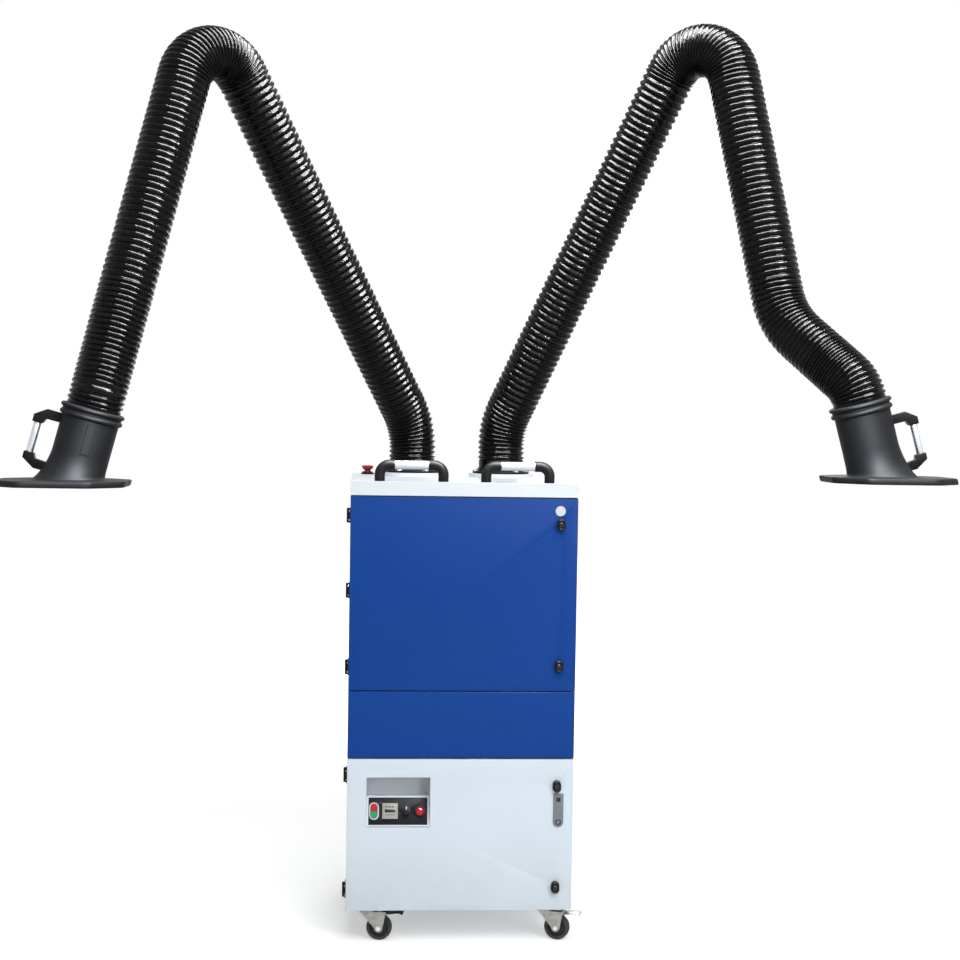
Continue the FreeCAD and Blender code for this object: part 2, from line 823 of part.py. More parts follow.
def brake_pedal():
    half = fork_inner_width / 2 - wheel_side_gap
    hub = across(pedal_hub_radius, pedal_pivot, half)
    plate_start = pedal_pivot.x + pedal_hub_radius * 2
    low = pedal_pivot.z - pedal_sheet / 2
    tongue = box(pedal_pivot.x, plate_start, -half, half, low, low + pedal_sheet)
    toe_start = pedal_reach - pedal_toe
    outline = [V(plate_start, 0, low), V(toe_start, 0, low + pedal_rise), V(pedal_reach, 0, low),
               V(pedal_reach, 0, low + pedal_sheet), V(toe_start, 0, low + pedal_rise + pedal_sheet),
               V(plate_start, 0, low + pedal_sheet)]
    tread = prism([point - V(0, pedal_width / 2, 0) for point in outline], V(0, pedal_width, 0))
    return fuse([hub, tongue, tread]).cut(across(pedal_pin_radius + running_fit, pedal_pivot, pedal_width))


# Arms: pivots, hose path and links
class Arm:
    """The pivots of one arm in its own upright plane, and the corners of its hose."""

    def __init__(self, pose):
        swing = math.radians(pose["swing"])
        self.side = pose["side"]
        self.hood_height = pose["hood_height"]
        self.handle_top = pose["handle_top"]
        self.base = arm_base(pose)
        self.out = V(self.side * math.cos(swing), -math.sin(swing), 0)
        self.normal = UP.cross(self.out)
        lower = self.lean_up(pose["lower"])
        fore = self.lean_down(pose["fore"])
        neck = self.lean_down(pose["neck"])
        self.handle_way = V(self.side, 0, 0)
        lean = math.radians(hood_lean)
        self.throat = self.handle_way * math.sin(lean) - UP * math.cos(lean)
        self.normal_to_throat = self.throat.cross(self.handle_way).normalize()
        self.shoulder = self.base + UP * (cover_top + shoulder_rise)
        half_turn = lower.getAngle(fore) / 2
        inward = fore - lower
        inward.normalize()
        drop = elbow_bend_radius * (1 / math.cos(half_turn) - 1) - elbow_pivot_offset
        self.elbow_corner = self.shoulder + lower * self.run_to_corner(lower, inward, drop, lower_link_length)
        self.elbow = self.elbow_corner + inward * drop
        self.wrist = self.elbow_corner + fore * self.run_to_corner(fore * -1, inward, drop, upper_link_length)
        self.hood_pivot = self.wrist + neck * pose["neck_length"]
        self.collar = self.hood_pivot + self.throat * pivot_above_collar

    def lean_up(self, degrees):
        return self.out * math.sin(math.radians(degrees)) + UP * math.cos(math.radians(degrees))

    def lean_down(self, degrees):
        return self.out * math.sin(math.radians(degrees)) - UP * math.cos(math.radians(degrees))

    @staticmethod
    def run_to_corner(towards_corner, inward, drop, link_length):
        """How far a link's far pivot lies from the hose's corner, so that the link has its set length."""
        along = -drop * towards_corner.dot(inward)
        return along + math.sqrt(link_length ** 2 - drop ** 2 + along ** 2)


class HosePath:
    """Straight runs joined by tangent arcs, measured along its length."""

    def __init__(self, corners, radii):
        self.stretches = []
        self.corner_marks = []
        self.length = 0
        here = corners[0]
        for before, corner, after, radius in zip(corners, corners[1:], corners[2:], radii):
            into = (corner - before).normalize()
            onward = (after - corner).normalize()
            turn = into.getAngle(onward)
            tangent = radius * math.tan(turn / 2)
            arc_start = corner - into * tangent
            self.add(arc_start - here, here, into, None, None)
            mark = self.length
            if turn > math.radians(0.5):
                axis = into.cross(onward).normalize()
                self.stretches.append((self.length, radius * turn, arc_start, into, axis, radius))
                self.length += radius * turn
            self.corner_marks.append((mark, self.length))
            here = corner + onward * tangent
        last = (corners[-1] - here).normalize()
        self.add(corners[-1] - here, here, last, None, None)

    def add(self, run, start, way, axis, radius):
        self.stretches.append((self.length, run.Length, start, way, axis, radius))
        self.length += run.Length

    def at(self, distance):
        """The point and the direction at a distance along the path."""
        for begin, length, start, way, axis, radius in self.stretches:
            if distance <= begin + length:
                break
        run = distance - begin
        if axis is None:
            return start + way * run, way
        turn = FreeCAD.Rotation(axis, math.degrees(run / radius))
        centre = start + axis.cross(way) * radius
        return centre + turn.multVec(start - centre), turn.multVec(way)


def ring_wire(path, distance, radius, steady):
    """A circle square to the path whose own X axis stays with the steady direction."""
    point, way = path.at(distance)
    across_way = (steady - way * steady.dot(way)).normalize()
    turn = FreeCAD.Rotation(across_way, way.cross(across_way), way, "ZXY")
    ring = Part.Wire([Part.Circle(V(0, 0, 0), UP, radius).toShape()])
    ring.Placement = FreeCAD.Placement(point, turn)
    return ring


def ribbed_hose(path, start, end, pitch, steady, cuff_start=0, cuff_end=0):
    """Ribs from four circles each over a smooth bore, with a plain cuff where one is asked for."""
    ribs_start = start + cuff_start
    ribs_end = end - cuff_end
    count = round((ribs_end - ribs_start) / pitch)
    step = (ribs_end - ribs_start) / count
    radii = (hose_valley_radius, hose_crest_radius, hose_crest_radius, hose_valley_radius)
    stations = []
    if cuff_start:
        stations += [(start, hose_cuff_radius), (ribs_start - cuff_step, hose_cuff_radius)]
    for rib in range(count):
        stations += [(ribs_start + (rib + share) * step, radius)
                     for share, radius in zip(rib_along_shares, radii)]
    stations.append((ribs_end, hose_valley_radius))
    if cuff_end:
        stations += [(ribs_end + cuff_step, hose_cuff_radius), (end, hose_cuff_radius)]
    outside = Part.makeLoft([ring_wire(path, place, radius, steady) for place, radius in stations], True,
                            True)
    bore_places = sorted({start, ribs_end, end} | {ribs_start + rib * step for rib in range(1, count)})
    bore = Part.makeLoft([ring_wire(path, place, hose_bore_radius, steady) for place in bore_places], True,
                         True)
    print("ribs", count, "pitch", round(step, 1))
    return outside.cut(bore)


def hoses(arm):
    """The five hose stretches of an arm, split where its joints bend it."""
    corners = [arm.base + UP * hose_base, arm.shoulder, arm.elbow_corner, arm.wrist, arm.hood_pivot,
               arm.collar]
    path = HosePath(corners, (base_bend_radius, elbow_bend_radius, first_wrist_radius, second_wrist_radius))
    shoulder_mark, elbow_mark, wrist_mark, _ = path.corner_marks
    base_end = sum(shoulder_mark) / 2 + base_hose_tail
    elbow_start = elbow_mark[0] - elbow_hose_margin
    elbow_end = elbow_mark[1] + elbow_hose_margin
    wrist_start = sum(wrist_mark) / 2 - wrist_hose_lead
    steady = arm.normal
    return {
        "base_hose": ribbed_hose(path, 0, base_end, base_pitch, steady, cuff_start=hose_cuff),
        "lower_hose": ribbed_hose(path, base_end, elbow_start, straight_pitch, steady),
        "elbow_hose": ribbed_hose(path, elbow_start, elbow_end, elbow_pitch, steady),
        "upper_hose": ribbed_hose(path, elbow_end, wrist_start, straight_pitch, steady),
        "wrist_hose": ribbed_hose(path, wrist_start, path.length, wrist_pitch, steady, cuff_end=hood_cuff),
    }


fork_half_inner = eye_width / 2 + fork_side_gap
fork_half_outer = fork_half_inner + fork_plate


def slab(origin, along, normal, start, end, half_height, low, high):
    """A bar in a link's own axes: along it, across its plane and up from its middle line."""
    rise = normal.cross(along) * half_height
    first = origin + along * start + normal * low
    last = origin + along * end + normal * low
    return prism([first - rise, last - rise, last + rise, first + rise], normal * (high - low))


def eye(pivot, normal):
    return rod(eye_radius, pivot - normal * (eye_width / 2), pivot + normal * (eye_width / 2))


def eye_bore(pivot, normal):
    reach = normal * (eye_width / 2 + cut_overrun)
    return rod(link_pin_radius + running_fit, pivot - reach, pivot + reach)


def fork_and_pin(pivot, along, normal, reach):
    """Two plates that carry a pin, reaching back along the link."""
    pieces = []
    for low in (fork_half_inner, -fork_half_outer):
        pieces.append(slab(pivot, along, normal, -reach, 0, eye_radius, low, low + fork_plate))
        pieces.append(rod(eye_radius, pivot + normal * low, pivot + normal * (low + fork_plate)))
    half_pin = normal * (fork_half_outer + link_pin_head)
    pieces.append(rod(link_pin_radius, pivot - half_pin, pivot + half_pin))
    return pieces


def link(start, end, normal):
    """A square tube with an eye on a tongue at one end and a fork with its pin at the other."""
    along = (end - start).normalize()
    length = (end - start).Length
    half = link_width / 2
    tongue = slab(start, along, normal, 0, tongue_length + fork_lap, half - link_wall, -eye_width / 2,
                  eye_width / 2)
    bar_end = length - fork_length
    bar = slab(start, along, normal, tongue_length, bar_end, half, -half, half)
    inner = half - link_wall
    bar = bar.cut(slab(start, along, normal, tongue_length + fork_lap, bar_end - fork_lap, inner, -inner,
                       inner))
    fork = fork_and_pin(end, along, normal, fork_length + fork_lap)
    return fuse([eye(start, normal), tongue, bar] + fork).cut(eye_bore(start, normal))


def swivel_collar(arm):
    foot = arm.base + UP * swivel_base
    tube_low = arm.base + UP * (cover_top + cover_sheet)
    tube_high = arm.base + UP * (hose_base + swivel_tube_rise)
    inner_radius = swivel_tube_radius - swivel_wall
    duct = fuse([rod(swivel_tube_radius, tube_low, tube_high),
                 rod(swivel_ring_radius, foot, foot + UP * swivel_ring)])
    duct = duct.cut(rod(inner_radius, tube_low - UP * cut_overrun, tube_high + UP * cut_overrun))
    bar_level = tube_high - UP * (bracket_bar * 2)
    reach = swivel_tube_radius - swivel_wall / 2
    bar = slab(bar_level, UP, arm.normal, 0, bracket_bar, eye_radius, -reach, reach)
    plates = fork_and_pin(arm.shoulder, UP, arm.normal, (arm.shoulder - bar_level).Length)
    return fuse([duct, bar] + plates)


def base_flange_pieces(arm):
    low = arm.base + UP * (cover_top + boss_height)
    high = arm.base + UP * flange_top
    ring = rod(base_flange_radius, low, high)
    pieces = [ring.cut(rod(swivel_tube_radius + running_fit, low - UP * cut_overrun,
                           high + UP * cut_overrun))]
    for index in range(base_bolt_count):
        turn = 2 * math.pi * index / base_bolt_count
        spot = high + V(math.cos(turn), math.sin(turn), 0) * base_bolt_circle
        pieces.append(rod(base_bolt_radius, spot, spot + UP * base_bolt_head))
    return pieces


# Hoods
def turned(arm, outline):
    """A body of revolution round the throat's axis from (radius, drop below the collar) points."""
    sideways = arm.handle_way * math.cos(math.radians(hood_lean)) + UP * math.sin(math.radians(hood_lean))
    points = [arm.collar + sideways * radius + arm.throat * drop for radius, drop in outline]
    return Part.Face(Part.makePolygon(points + [points[0]])).revolve(arm.collar, arm.throat, 360)


def hood_outline(arm, wall, ends):
    """The hood's outer line drawn in by a wall, from the spigot down past its flange."""
    rings_end = hood_ring * 2 + hood_ring_groove
    lean = math.radians(hood_lean)
    flare_end = arm.hood_height / math.cos(lean) + flange_arm_reach * math.sin(lean)
    flare = flare_end - hood_throat_length
    swell = hood_flare_radius - hood_throat_radius
    line = [(swivel_tube_radius - wall, -hood_spigot - ends), (swivel_tube_radius - wall, 0)]
    if not wall:
        line += [(hood_ring_radius, 0), (hood_ring_radius, hood_ring), (hood_groove_radius, hood_ring),
                 (hood_groove_radius, hood_ring + hood_ring_groove),
                 (hood_ring_radius, hood_ring + hood_ring_groove),
                 (hood_ring_radius, rings_end)]
    line += [(hood_throat_radius - wall, rings_end), (hood_throat_radius - wall, hood_throat_length)]
    for share in flare_shares:
        line.append((hood_throat_radius - wall + swell * share ** 2, hood_throat_length + flare * share))
    return [(0, -hood_spigot - ends)] + line + [(0, flare_end)]


def flange_face(arm, inset, level):
    """The hood's eight-sided flange outline at a level, drawn in by an inset."""
    drop = (arm.collar.z - level) / math.cos(math.radians(hood_lean))
    middle = arm.collar + arm.throat * drop
    far = flange_handle_reach - inset
    near = -flange_arm_reach + inset
    deep = flange_half_depth - inset
    cut = flange_corner - inset * (2 - math.sqrt(2))
    outline = [(far, -deep + cut), (far, deep - cut), (far - cut, deep), (near + cut, deep),
               (near, deep - cut),
               (near, -deep + cut), (near + cut, -deep), (far - cut, -deep)]
    return [middle + arm.handle_way * reach + V(0, side, 0) for reach, side in outline]


def hood(arm):
    low = arm.collar.z - arm.hood_height
    body = turned(arm, hood_outline(arm, 0, 0))
    size = flange_handle_reach * 2
    below = box(arm.collar.x - size, arm.collar.x + size, arm.collar.y - size, arm.collar.y + size,
                low - size, low)
    rim = prism(flange_face(arm, 0, low), UP * flange_height)
    rim = rim.cut(prism(flange_face(arm, flange_lip, low), UP * (flange_height - flange_skin)))
    mouth = turned(arm, hood_outline(arm, hood_wall, cut_overrun))
    shell = fuse([body.cut(below), rim]).cut(mouth)
    bar_middle = arm.collar + arm.throat * hood_bar_drop
    reach = hood_throat_radius - hood_wall / 2
    half_bar = hood_bar_width / 2
    bar = slab(bar_middle, arm.throat, arm.normal_to_throat, -half_bar, half_bar, half_bar, -reach, reach)
    stem_way = (bar_middle - arm.hood_pivot)
    stem_way = (stem_way - arm.normal * stem_way.dot(arm.normal)).normalize()
    stem_length = (bar_middle - arm.hood_pivot).dot(stem_way)
    stem = slab(arm.hood_pivot, stem_way, arm.normal, 0, stem_length, half_bar, -eye_width / 2, eye_width / 2)
    return fuse([shell, bar, stem, eye(arm.hood_pivot, arm.normal)]).cut(eye_bore(arm.hood_pivot, arm.normal))


def hood_handle(arm):
    sideways = arm.handle_way * math.cos(math.radians(hood_lean)) + UP * math.sin(math.radians(hood_lean))
    seat = arm.collar + sideways * hood_throat_radius
    depth_way = sideways.cross(arm.throat)

    def spot(reach_share, span_share):
        reach = hood_handle_reach * reach_share if reach_share else -handle_foot_depth
        return seat + sideways * reach + arm.throat * (arm.handle_top + hood_handle_span * span_share)

    throat = turned(arm, hood_outline(arm, -hood_handle_seat, cut_overrun))
    pieces = []
    for shares in (top_bracket_shares, foot_bracket_shares):
        points = [spot(*share) - depth_way * (hood_handle_width / 2) for share in shares]
        pieces.append(prism(points, depth_way * hood_handle_width).cut(throat))
    grip_start, grip_end = (spot(1, share) for share in grip_end_shares)
    return pieces + [rod(hood_grip_radius, grip_start, grip_end)]


def export_arm(name, pose):
    arm = Arm(pose)
    print(name, "shoulder", arm.shoulder, "elbow", arm.elbow, "wrist", arm.wrist, "hood", arm.hood_pivot,
          "collar", arm.collar, "axis", arm.normal)
    save(name + "_swivel_collar", [swivel_collar(arm)])
    for piece, solid in hoses(arm).items():
        save(name + "_" + piece, [solid])
    save(name + "_lower_link", [link(arm.shoulder, arm.elbow, arm.normal)])
    save(name + "_upper_link", [link(arm.elbow, arm.wrist, arm.normal)])
    save(name + "_neck_link", [link(arm.wrist, arm.hood_pivot, arm.normal)])
    save(name + "_hood", [hood(arm)])
    save(name + "_hood_handle", hood_handle(arm))


def export_cabinet():
    save("cabinet_shell", cabinet_shell())
    save("top_cover", [top_cover()])
    save("middle_panel", [middle_panel()])
    save("fan_deck", [fan_deck()])
    save("filter_cartridge", filter_cartridge())
    save("fan_housing", [fan_housing()])
    save("fan_motor", [fan_motor()])
    save("impeller", [impeller()])
    save("cable_gland", [cable_gland()])
    save("estop_button", [estop_button()])
    save("handle_bends", [handle_bend(side, end) for side in (-1, 1) for end in (-1, 1)])
    save("handle_grips", [handle_grip(side) for side in (-1, 1)])
    save("arm_base_flanges", [piece for pose in ARMS.values() for piece in base_flange_pieces(Arm(pose))])


def export_doors():
    upper = (upper_door_bottom, upper_door_top)
    lower = (lower_door_bottom, lower_door_top)
    upper_hinges = [at_share(*upper, share) for share in upper_hinge_shares]
    lower_hinges = [at_share(*lower, share) for share in lower_hinge_shares]
    save("upper_door", [door(*upper, upper_latch_shares)])
    save("lower_door", [lower_door()])
    save("cabinet_hinge_halves", [cabinet_hinge_half(level) for level in upper_hinges + lower_hinges])
    save("upper_door_hinge_halves", [door_hinge_half(level) for level in upper_hinges])
    save("lower_door_hinge_halves", [door_hinge_half(level) for level in lower_hinges])
    for name, levels, shares in (("upper_door", upper, upper_latch_shares),
                                 ("lower_door", lower, lower_latch_shares)):
        for place, share in zip(("bottom", "top"), shares):
            save(name + "_" + place + "_latch", [latch(*levels, share)])


def export_controls():
    save("control_pocket", [control_pocket()])
    save("control_plate", [control_plate()])
    save("hour_meter", [sloped_box(meter_column_share, meter_side, meter_side, 0, meter_depth)])
    save("selector_knob", [selector_knob()])
    save("pilot_lamp", [pilot_lamp()])
    save("stop_button", [push_button(button_spacing / 2)])
    save("start_button", [push_button(-button_spacing / 2)])


def export_castors():
    front_y = front + castor_inset
    rear_y = back - castor_inset
    side_x = half_width - castor_inset
    heads = []
    for name, side, turn in (("front_left", -1, left_castor_turn), ("front_right", 1, right_castor_turn)):
        centre = V(side * side_x, front_y, 0)
        heads.append(place_castor(swivel_head(), centre, 0))
        save(name + "_fork", [place_castor(swivel_fork(), centre, turn)])
        save(name + "_wheel", [place_castor(wheel(), centre, turn)])
        save(name + "_pedal", [place_castor(brake_pedal(), centre, turn)])
    for name, side in (("rear_left", -1), ("rear_right", 1)):
        centre = V(side * side_x - castor_trail, rear_y, 0)
        heads.append(place_castor(rigid_bracket(), centre, 0))
        save(name + "_wheel", [place_castor(wheel(), centre, 0)])
    save("castor_brackets", heads)


os.makedirs("parts", exist_ok=True)
export_cabinet()
export_doors()
export_controls()
export_castors()
for arm_name, arm_pose in ARMS.items():
    export_arm(arm_name, arm_pose)
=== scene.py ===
# %% [markdown]
# A mobile welding fume extractor: a sheet-metal cabinet on castors with two ribbed extraction arms. The
# solids come in first and stay where they are. Everything after this cell dresses them: it gives each one a
# finish, rounds the edges that catch light and adds the small trim that the solids leave out.

# %% Load the frame
import json
from math import copysign, cos, pi, radians, sin, tan

import bmesh
import bpy
from mathutils import Matrix, Vector


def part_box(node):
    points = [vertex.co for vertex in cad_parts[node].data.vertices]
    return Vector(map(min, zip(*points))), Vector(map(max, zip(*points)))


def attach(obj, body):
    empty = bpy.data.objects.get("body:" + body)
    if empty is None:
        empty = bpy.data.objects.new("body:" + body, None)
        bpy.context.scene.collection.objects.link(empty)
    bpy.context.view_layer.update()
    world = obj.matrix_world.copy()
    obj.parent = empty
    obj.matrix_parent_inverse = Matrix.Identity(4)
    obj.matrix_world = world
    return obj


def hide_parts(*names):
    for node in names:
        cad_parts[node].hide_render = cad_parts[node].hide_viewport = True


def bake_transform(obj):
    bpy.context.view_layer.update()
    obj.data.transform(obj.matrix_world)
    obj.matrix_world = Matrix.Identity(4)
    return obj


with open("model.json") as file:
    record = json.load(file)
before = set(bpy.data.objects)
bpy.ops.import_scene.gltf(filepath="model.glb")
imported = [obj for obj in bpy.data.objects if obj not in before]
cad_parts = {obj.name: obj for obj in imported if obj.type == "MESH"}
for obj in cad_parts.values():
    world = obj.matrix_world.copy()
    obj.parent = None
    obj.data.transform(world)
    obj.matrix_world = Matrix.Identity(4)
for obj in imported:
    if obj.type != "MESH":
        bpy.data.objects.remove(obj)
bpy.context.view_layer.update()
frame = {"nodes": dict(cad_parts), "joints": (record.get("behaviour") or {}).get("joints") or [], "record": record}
scene = bpy.context.scene
joints = {joint["name"]: joint for joint in frame["joints"]}
UP = Vector((0, 0, 1))
RIGHT = Vector((1, 0, 0))
OUTWARD = Vector((0, -1, 0))


def pivot(joint):
    """Where a joint turns, in metres."""
    return Vector(joints[joint]["pos_m"])


def add(name, data):
    """Puts a mesh, a curve, a lamp or a camera into the scene."""
    made = bpy.data.objects.new(name, data)
    scene.collection.objects.link(made)
    return made


# %% [markdown]
# The camera stands a little left of the cabinet's middle, above half its height, about five metres away. A
# lens of this length keeps the cabinet's sides upright, and a small roll matches how the picture was taken.

# %% Camera
CAMERA_PLACE = Vector((-0.303, -5.350, 1.632))
CAMERA_YAW = radians(3.98)
CAMERA_PITCH = radians(-2.16)
CAMERA_ROLL = radians(0.91)
LENS_MM = 61.33
SENSOR_MM = 36.0


def aim(yaw, pitch, roll):
    """A camera's turn from its heading right of +Y, its rise above the horizon and its roll."""
    flat = cos(pitch)
    forward = Vector((sin(yaw) * flat, cos(yaw) * flat, sin(pitch)))
    level = Vector((cos(yaw), -sin(yaw), 0))
    upright = level.cross(forward)
    right = level * cos(roll) + upright * sin(roll)
    above = upright * cos(roll) - level * sin(roll)
    return Matrix((right, above, -forward)).transposed().to_4x4()


camera = add("camera", bpy.data.cameras.new("camera"))
camera.data.lens = LENS_MM
camera.data.sensor_width = SENSOR_MM
camera.matrix_world = Matrix.Translation(CAMERA_PLACE) @ aim(CAMERA_YAW, CAMERA_PITCH, CAMERA_ROLL)
scene.camera = camera
scene.view_settings.view_transform = "Standard"
print("camera", round(CAMERA_PLACE.length, 2), "m from the middle of the floor")

# %% [markdown]
# Materials and repeated shapes are both node trees. A few lines make such trees as easy to write as sums: a
# Value wraps one output socket, and each operator on it adds a Math node. Any other node comes from one
# function, which sets the node's own settings first and then the values or links of its sockets.


# %% Nodes as expressions
def operator(operation):
    """A method that puts one kind of Math node behind a Value and what stands right of the sign."""
    return lambda self, other: self.math(operation, self, other)


class Value:
    """One output socket. Adding, multiplying and so on put Math nodes behind it."""

    def __init__(self, tree, socket):
        self.tree = tree
        self.socket = socket

    def math(self, operation, first, second=0.0):
        return node(self.tree, "ShaderNodeMath", {"operation": operation}, {0: first, 1: second})["Value"]

    __add__ = __radd__ = operator("ADD")
    __mul__ = __rmul__ = operator("MULTIPLY")
    __sub__ = operator("SUBTRACT")
    __truediv__ = operator("DIVIDE")
    __pow__ = operator("POWER")
    __gt__ = operator("GREATER_THAN")
    __lt__ = operator("LESS_THAN")

    def __rsub__(self, other):
        return self.math("SUBTRACT", other, self)


class Outputs:
    """A node's outputs by name or number."""

    def __init__(self, tree, made):
        self.tree = tree
        self.made = made

    def __getitem__(self, name):
        return Value(self.tree, self.made.outputs[name])


def put(tree, socket, value):
    """Links a Value to an input socket, or sets the socket to a plain value."""
    if isinstance(value, Value):
        tree.links.new(value.socket, socket)
    else:
        socket.default_value = value


def node(tree, kind, settings=None, inputs=None):
    made = tree.nodes.new(kind)
    for name, value in (settings or {}).items():
        setattr(made, name, value)
    for name, value in (inputs or {}).items():
        put(tree, made.inputs[name], value)
    return Outputs(tree, made)


# %% [markdown]
# The object stands on a plain white floor. Camera and mirror rays see a white world, and the floor fades into
# it with distance, so that no horizon shows. Other rays get only an even glow from all round.

# %% Floor and world
FLOOR_HALF_SIDE = 14.0
FLOOR_GREY = (0.86, 0.86, 0.86, 1.0)
FLOOR_FADE_FROM = 1.6
FLOOR_FADE_TO = 3.4
FLOOR_LIFT = 0.40
GLOW_STRENGTH = 0.24
WHITE = (1.0, 1.0, 1.0, 1.0)


def seen_ray(tree):
    """1 for rays from the camera, a mirror or a glass, 0 for the rest."""
    path = node(tree, "ShaderNodeLightPath")
    return path["Is Camera Ray"] + path["Is Glossy Ray"] + path["Is Transmission Ray"] > 0.5


def studio_world():
    scene.world = bpy.data.worlds.new("studio")
    scene.world.use_nodes = True
    tree = scene.world.node_tree
    shader = tree.nodes["Background"]
    put(tree, shader.inputs["Color"], WHITE)
    put(tree, shader.inputs["Strength"], seen_ray(tree) * (1.0 - GLOW_STRENGTH) + GLOW_STRENGTH)


def studio_floor():
    side = FLOOR_HALF_SIDE
    mesh = bpy.data.meshes.new("floor")
    corners = [(-side, -side, 0), (side, -side, 0), (side, side, 0), (-side, side, 0)]
    mesh.from_pydata(corners, [], [(0, 1, 2, 3)])
    paper = bpy.data.materials.new("floor_paper")
    paper.use_nodes = True
    tree = paper.node_tree
    place = node(tree, "ShaderNodeTexCoord")["Object"]
    away = node(tree, "ShaderNodeVectorMath", {"operation": "LENGTH"}, {0: place})["Value"]
    far = node(tree, "ShaderNodeMapRange", {"interpolation_type": "SMOOTHSTEP"},
               {"Value": away, "From Min": FLOOR_FADE_FROM, "From Max": FLOOR_FADE_TO})[0]
    lift = seen_ray(tree) * (far * (1.0 - FLOOR_LIFT) + FLOOR_LIFT)
    for socket, value in {"Base Color": FLOOR_GREY, "Roughness": 0.9, "Specular IOR Level": 0.0,
                          "Emission Color": WHITE, "Emission Strength": lift}.items():
        put(tree, tree.nodes["Principled BSDF"].inputs[socket], value)
    mesh.materials.append(paper)
    floor = add("floor", mesh)


studio_world()
studio_floor()
print("floor", 2 * FLOOR_HALF_SIDE, "m wide")

# %% [markdown]
# Soft light: a key lamp high in front, a weaker one from the right, one overhead and one behind. Three more
# lamps light only gloss and no colour: two overhead, which the shiny hoses show as glints on every rib, and
# one in front for the soft sheen on the hoods alone.

# %% Lamps
HOOD_LAMP_TINT = (0.84, 0.91, 1.0)


def lamp(name, place, target, size, watts, gloss_only=False):
    light = bpy.data.lights.new(name, "AREA")
    light.size = size
    light.energy = watts
    made = add(name, light)
    turn = (Vector(target) - Vector(place)).to_track_quat("-Z", "Y").to_matrix().to_4x4()
    made.matrix_world = Matrix.Translation(place) @ turn
    made.visible_diffuse = not gloss_only
    print(name, watts, "W", "on gloss only" if gloss_only else "")
    return made


lamp("key_lamp", (0.3, -3.6, 4.9), (0, -0.2, 1.5), size=3.0, watts=175)
lamp("side_lamp", (2.8, -4.6, 3.2), (0, -0.2, 1.5), size=2.4, watts=90)
lamp("over_glint", (0.0, -0.9, 4.8), (0, -0.4, 2.0), size=2.0, watts=1000, gloss_only=True)
lamp("right_glint", (1.6, -1.8, 4.4), (0, -0.4, 2.0), size=1.4, watts=1000, gloss_only=True)
lamp("top_lamp", (0.2, -0.4, 5.2), (0, -0.3, 1.0), size=2.2, watts=50)
lamp("back_lamp", (1.5, 4.6, 3.6), (0, 0, 1.2), size=2.6, watts=80)
hood_lamp = lamp("hood_lamp", (0.3, -3.9, 3.5), (0, -0.9, 1.4), size=2.2, watts=3300, gloss_only=True)
hood_lamp.data.color = HOOD_LAMP_TINT
hood_gloss = bpy.data.collections.new("hood_gloss")
hood_lamp.light_linking.receiver_collection = hood_gloss

# %% [markdown]
# Each finish is one Principled shader. What changes over the surface is worked out from Object coordinates,
# which on these pieces are the same metres as the frame, so a grain has its real size on every piece.


# %% Finish helper
class Finish:
    """A material around one Principled shader, with short names for what most finishes need."""

    def __init__(self, name, colour, roughness, sockets=None):
        self.material = bpy.data.materials.new(name)
        self.material.use_nodes = True
        self.tree = self.material.node_tree
        self.place = node(self.tree, "ShaderNodeTexCoord")["Object"]
        self.colour = colour
        self.set("Base Color", (*colour, 1.0))
        self.set("Roughness", roughness)
        for socket, value in (sockets or {}).items():
            self.set(socket, value)

    def set(self, socket, value):
        put(self.tree, self.tree.nodes["Principled BSDF"].inputs[socket], value)

    def noise(self, scale, detail=2.0, stretch=None):
        """Cloudy noise from 0 to 1, with scale features a metre, stretched along the axes if asked."""
        place = self.place
        if stretch:
            place = node(self.tree, "ShaderNodeMapping", None, {"Vector": place, "Scale": stretch})["Vector"]
        return node(self.tree, "ShaderNodeTexNoise", None,
                    {"Vector": place, "Scale": scale, "Detail": detail, "Roughness": 0.55})[0]

    def height(self):
        return node(self.tree, "ShaderNodeSeparateXYZ", None, {0: self.place})["Z"]

    def mix(self, mask, first, second):
        """A colour from the first, where the mask is 0, to the second."""
        ends = [end if isinstance(end, Value) else (*end, 1.0) for end in (first, second)]
        return node(self.tree, "ShaderNodeMix", {"data_type": "RGBA"}, {0: mask, 6: ends[0], 7: ends[1]})[2]

    def tones(self, mask, dark, pale):
        """The finish's own colour, from a darker tone where the mask is 0 to a paler one."""
        return self.mix(mask, *([channel * tone for channel in self.colour] for tone in (dark, pale)))

    def spread(self, value, low, high):
        """Stretches a value's low-to-high part over 0 to 1."""
        return node(self.tree, "ShaderNodeMapRange", None,
                    {"Value": value, "From Min": low, "From Max": high})[0]

    def bump(self, height, depth, strength):
        self.set("Normal", node(self.tree, "ShaderNodeBump", None,
                                {"Height": height, "Distance": depth, "Strength": strength})["Normal"])


# %% [markdown]
# A powder coat has a fine orange peel and a little dust near the floor. Moulded plastic has a fine grain, and
# a glossy button only a slight unevenness under its clear coat.

# %% Paint and plastic
DUST_LEVELS = (0.10, 0.34)
DUST_SHARE = 0.35
DUST_COLOUR = (0.378, 0.369, 0.351)


def powder_coat(name, colour, roughness):
    coat = Finish(name, colour, roughness, {"Specular IOR Level": 0.12})
    cloud = coat.noise(2.5, 3.0)
    dust = (1.0 - coat.spread(coat.height(), *DUST_LEVELS)) * coat.noise(9, 4.0) * DUST_SHARE
    coat.set("Base Color", coat.mix(dust, coat.tones(cloud, dark=0.94, pale=1.05), DUST_COLOUR))
    coat.set("Roughness", cloud * 0.10 + dust * 0.2 + (roughness - 0.05))
    coat.bump(coat.noise(420, 1.0), depth=0.0006, strength=0.10)
    return coat.material


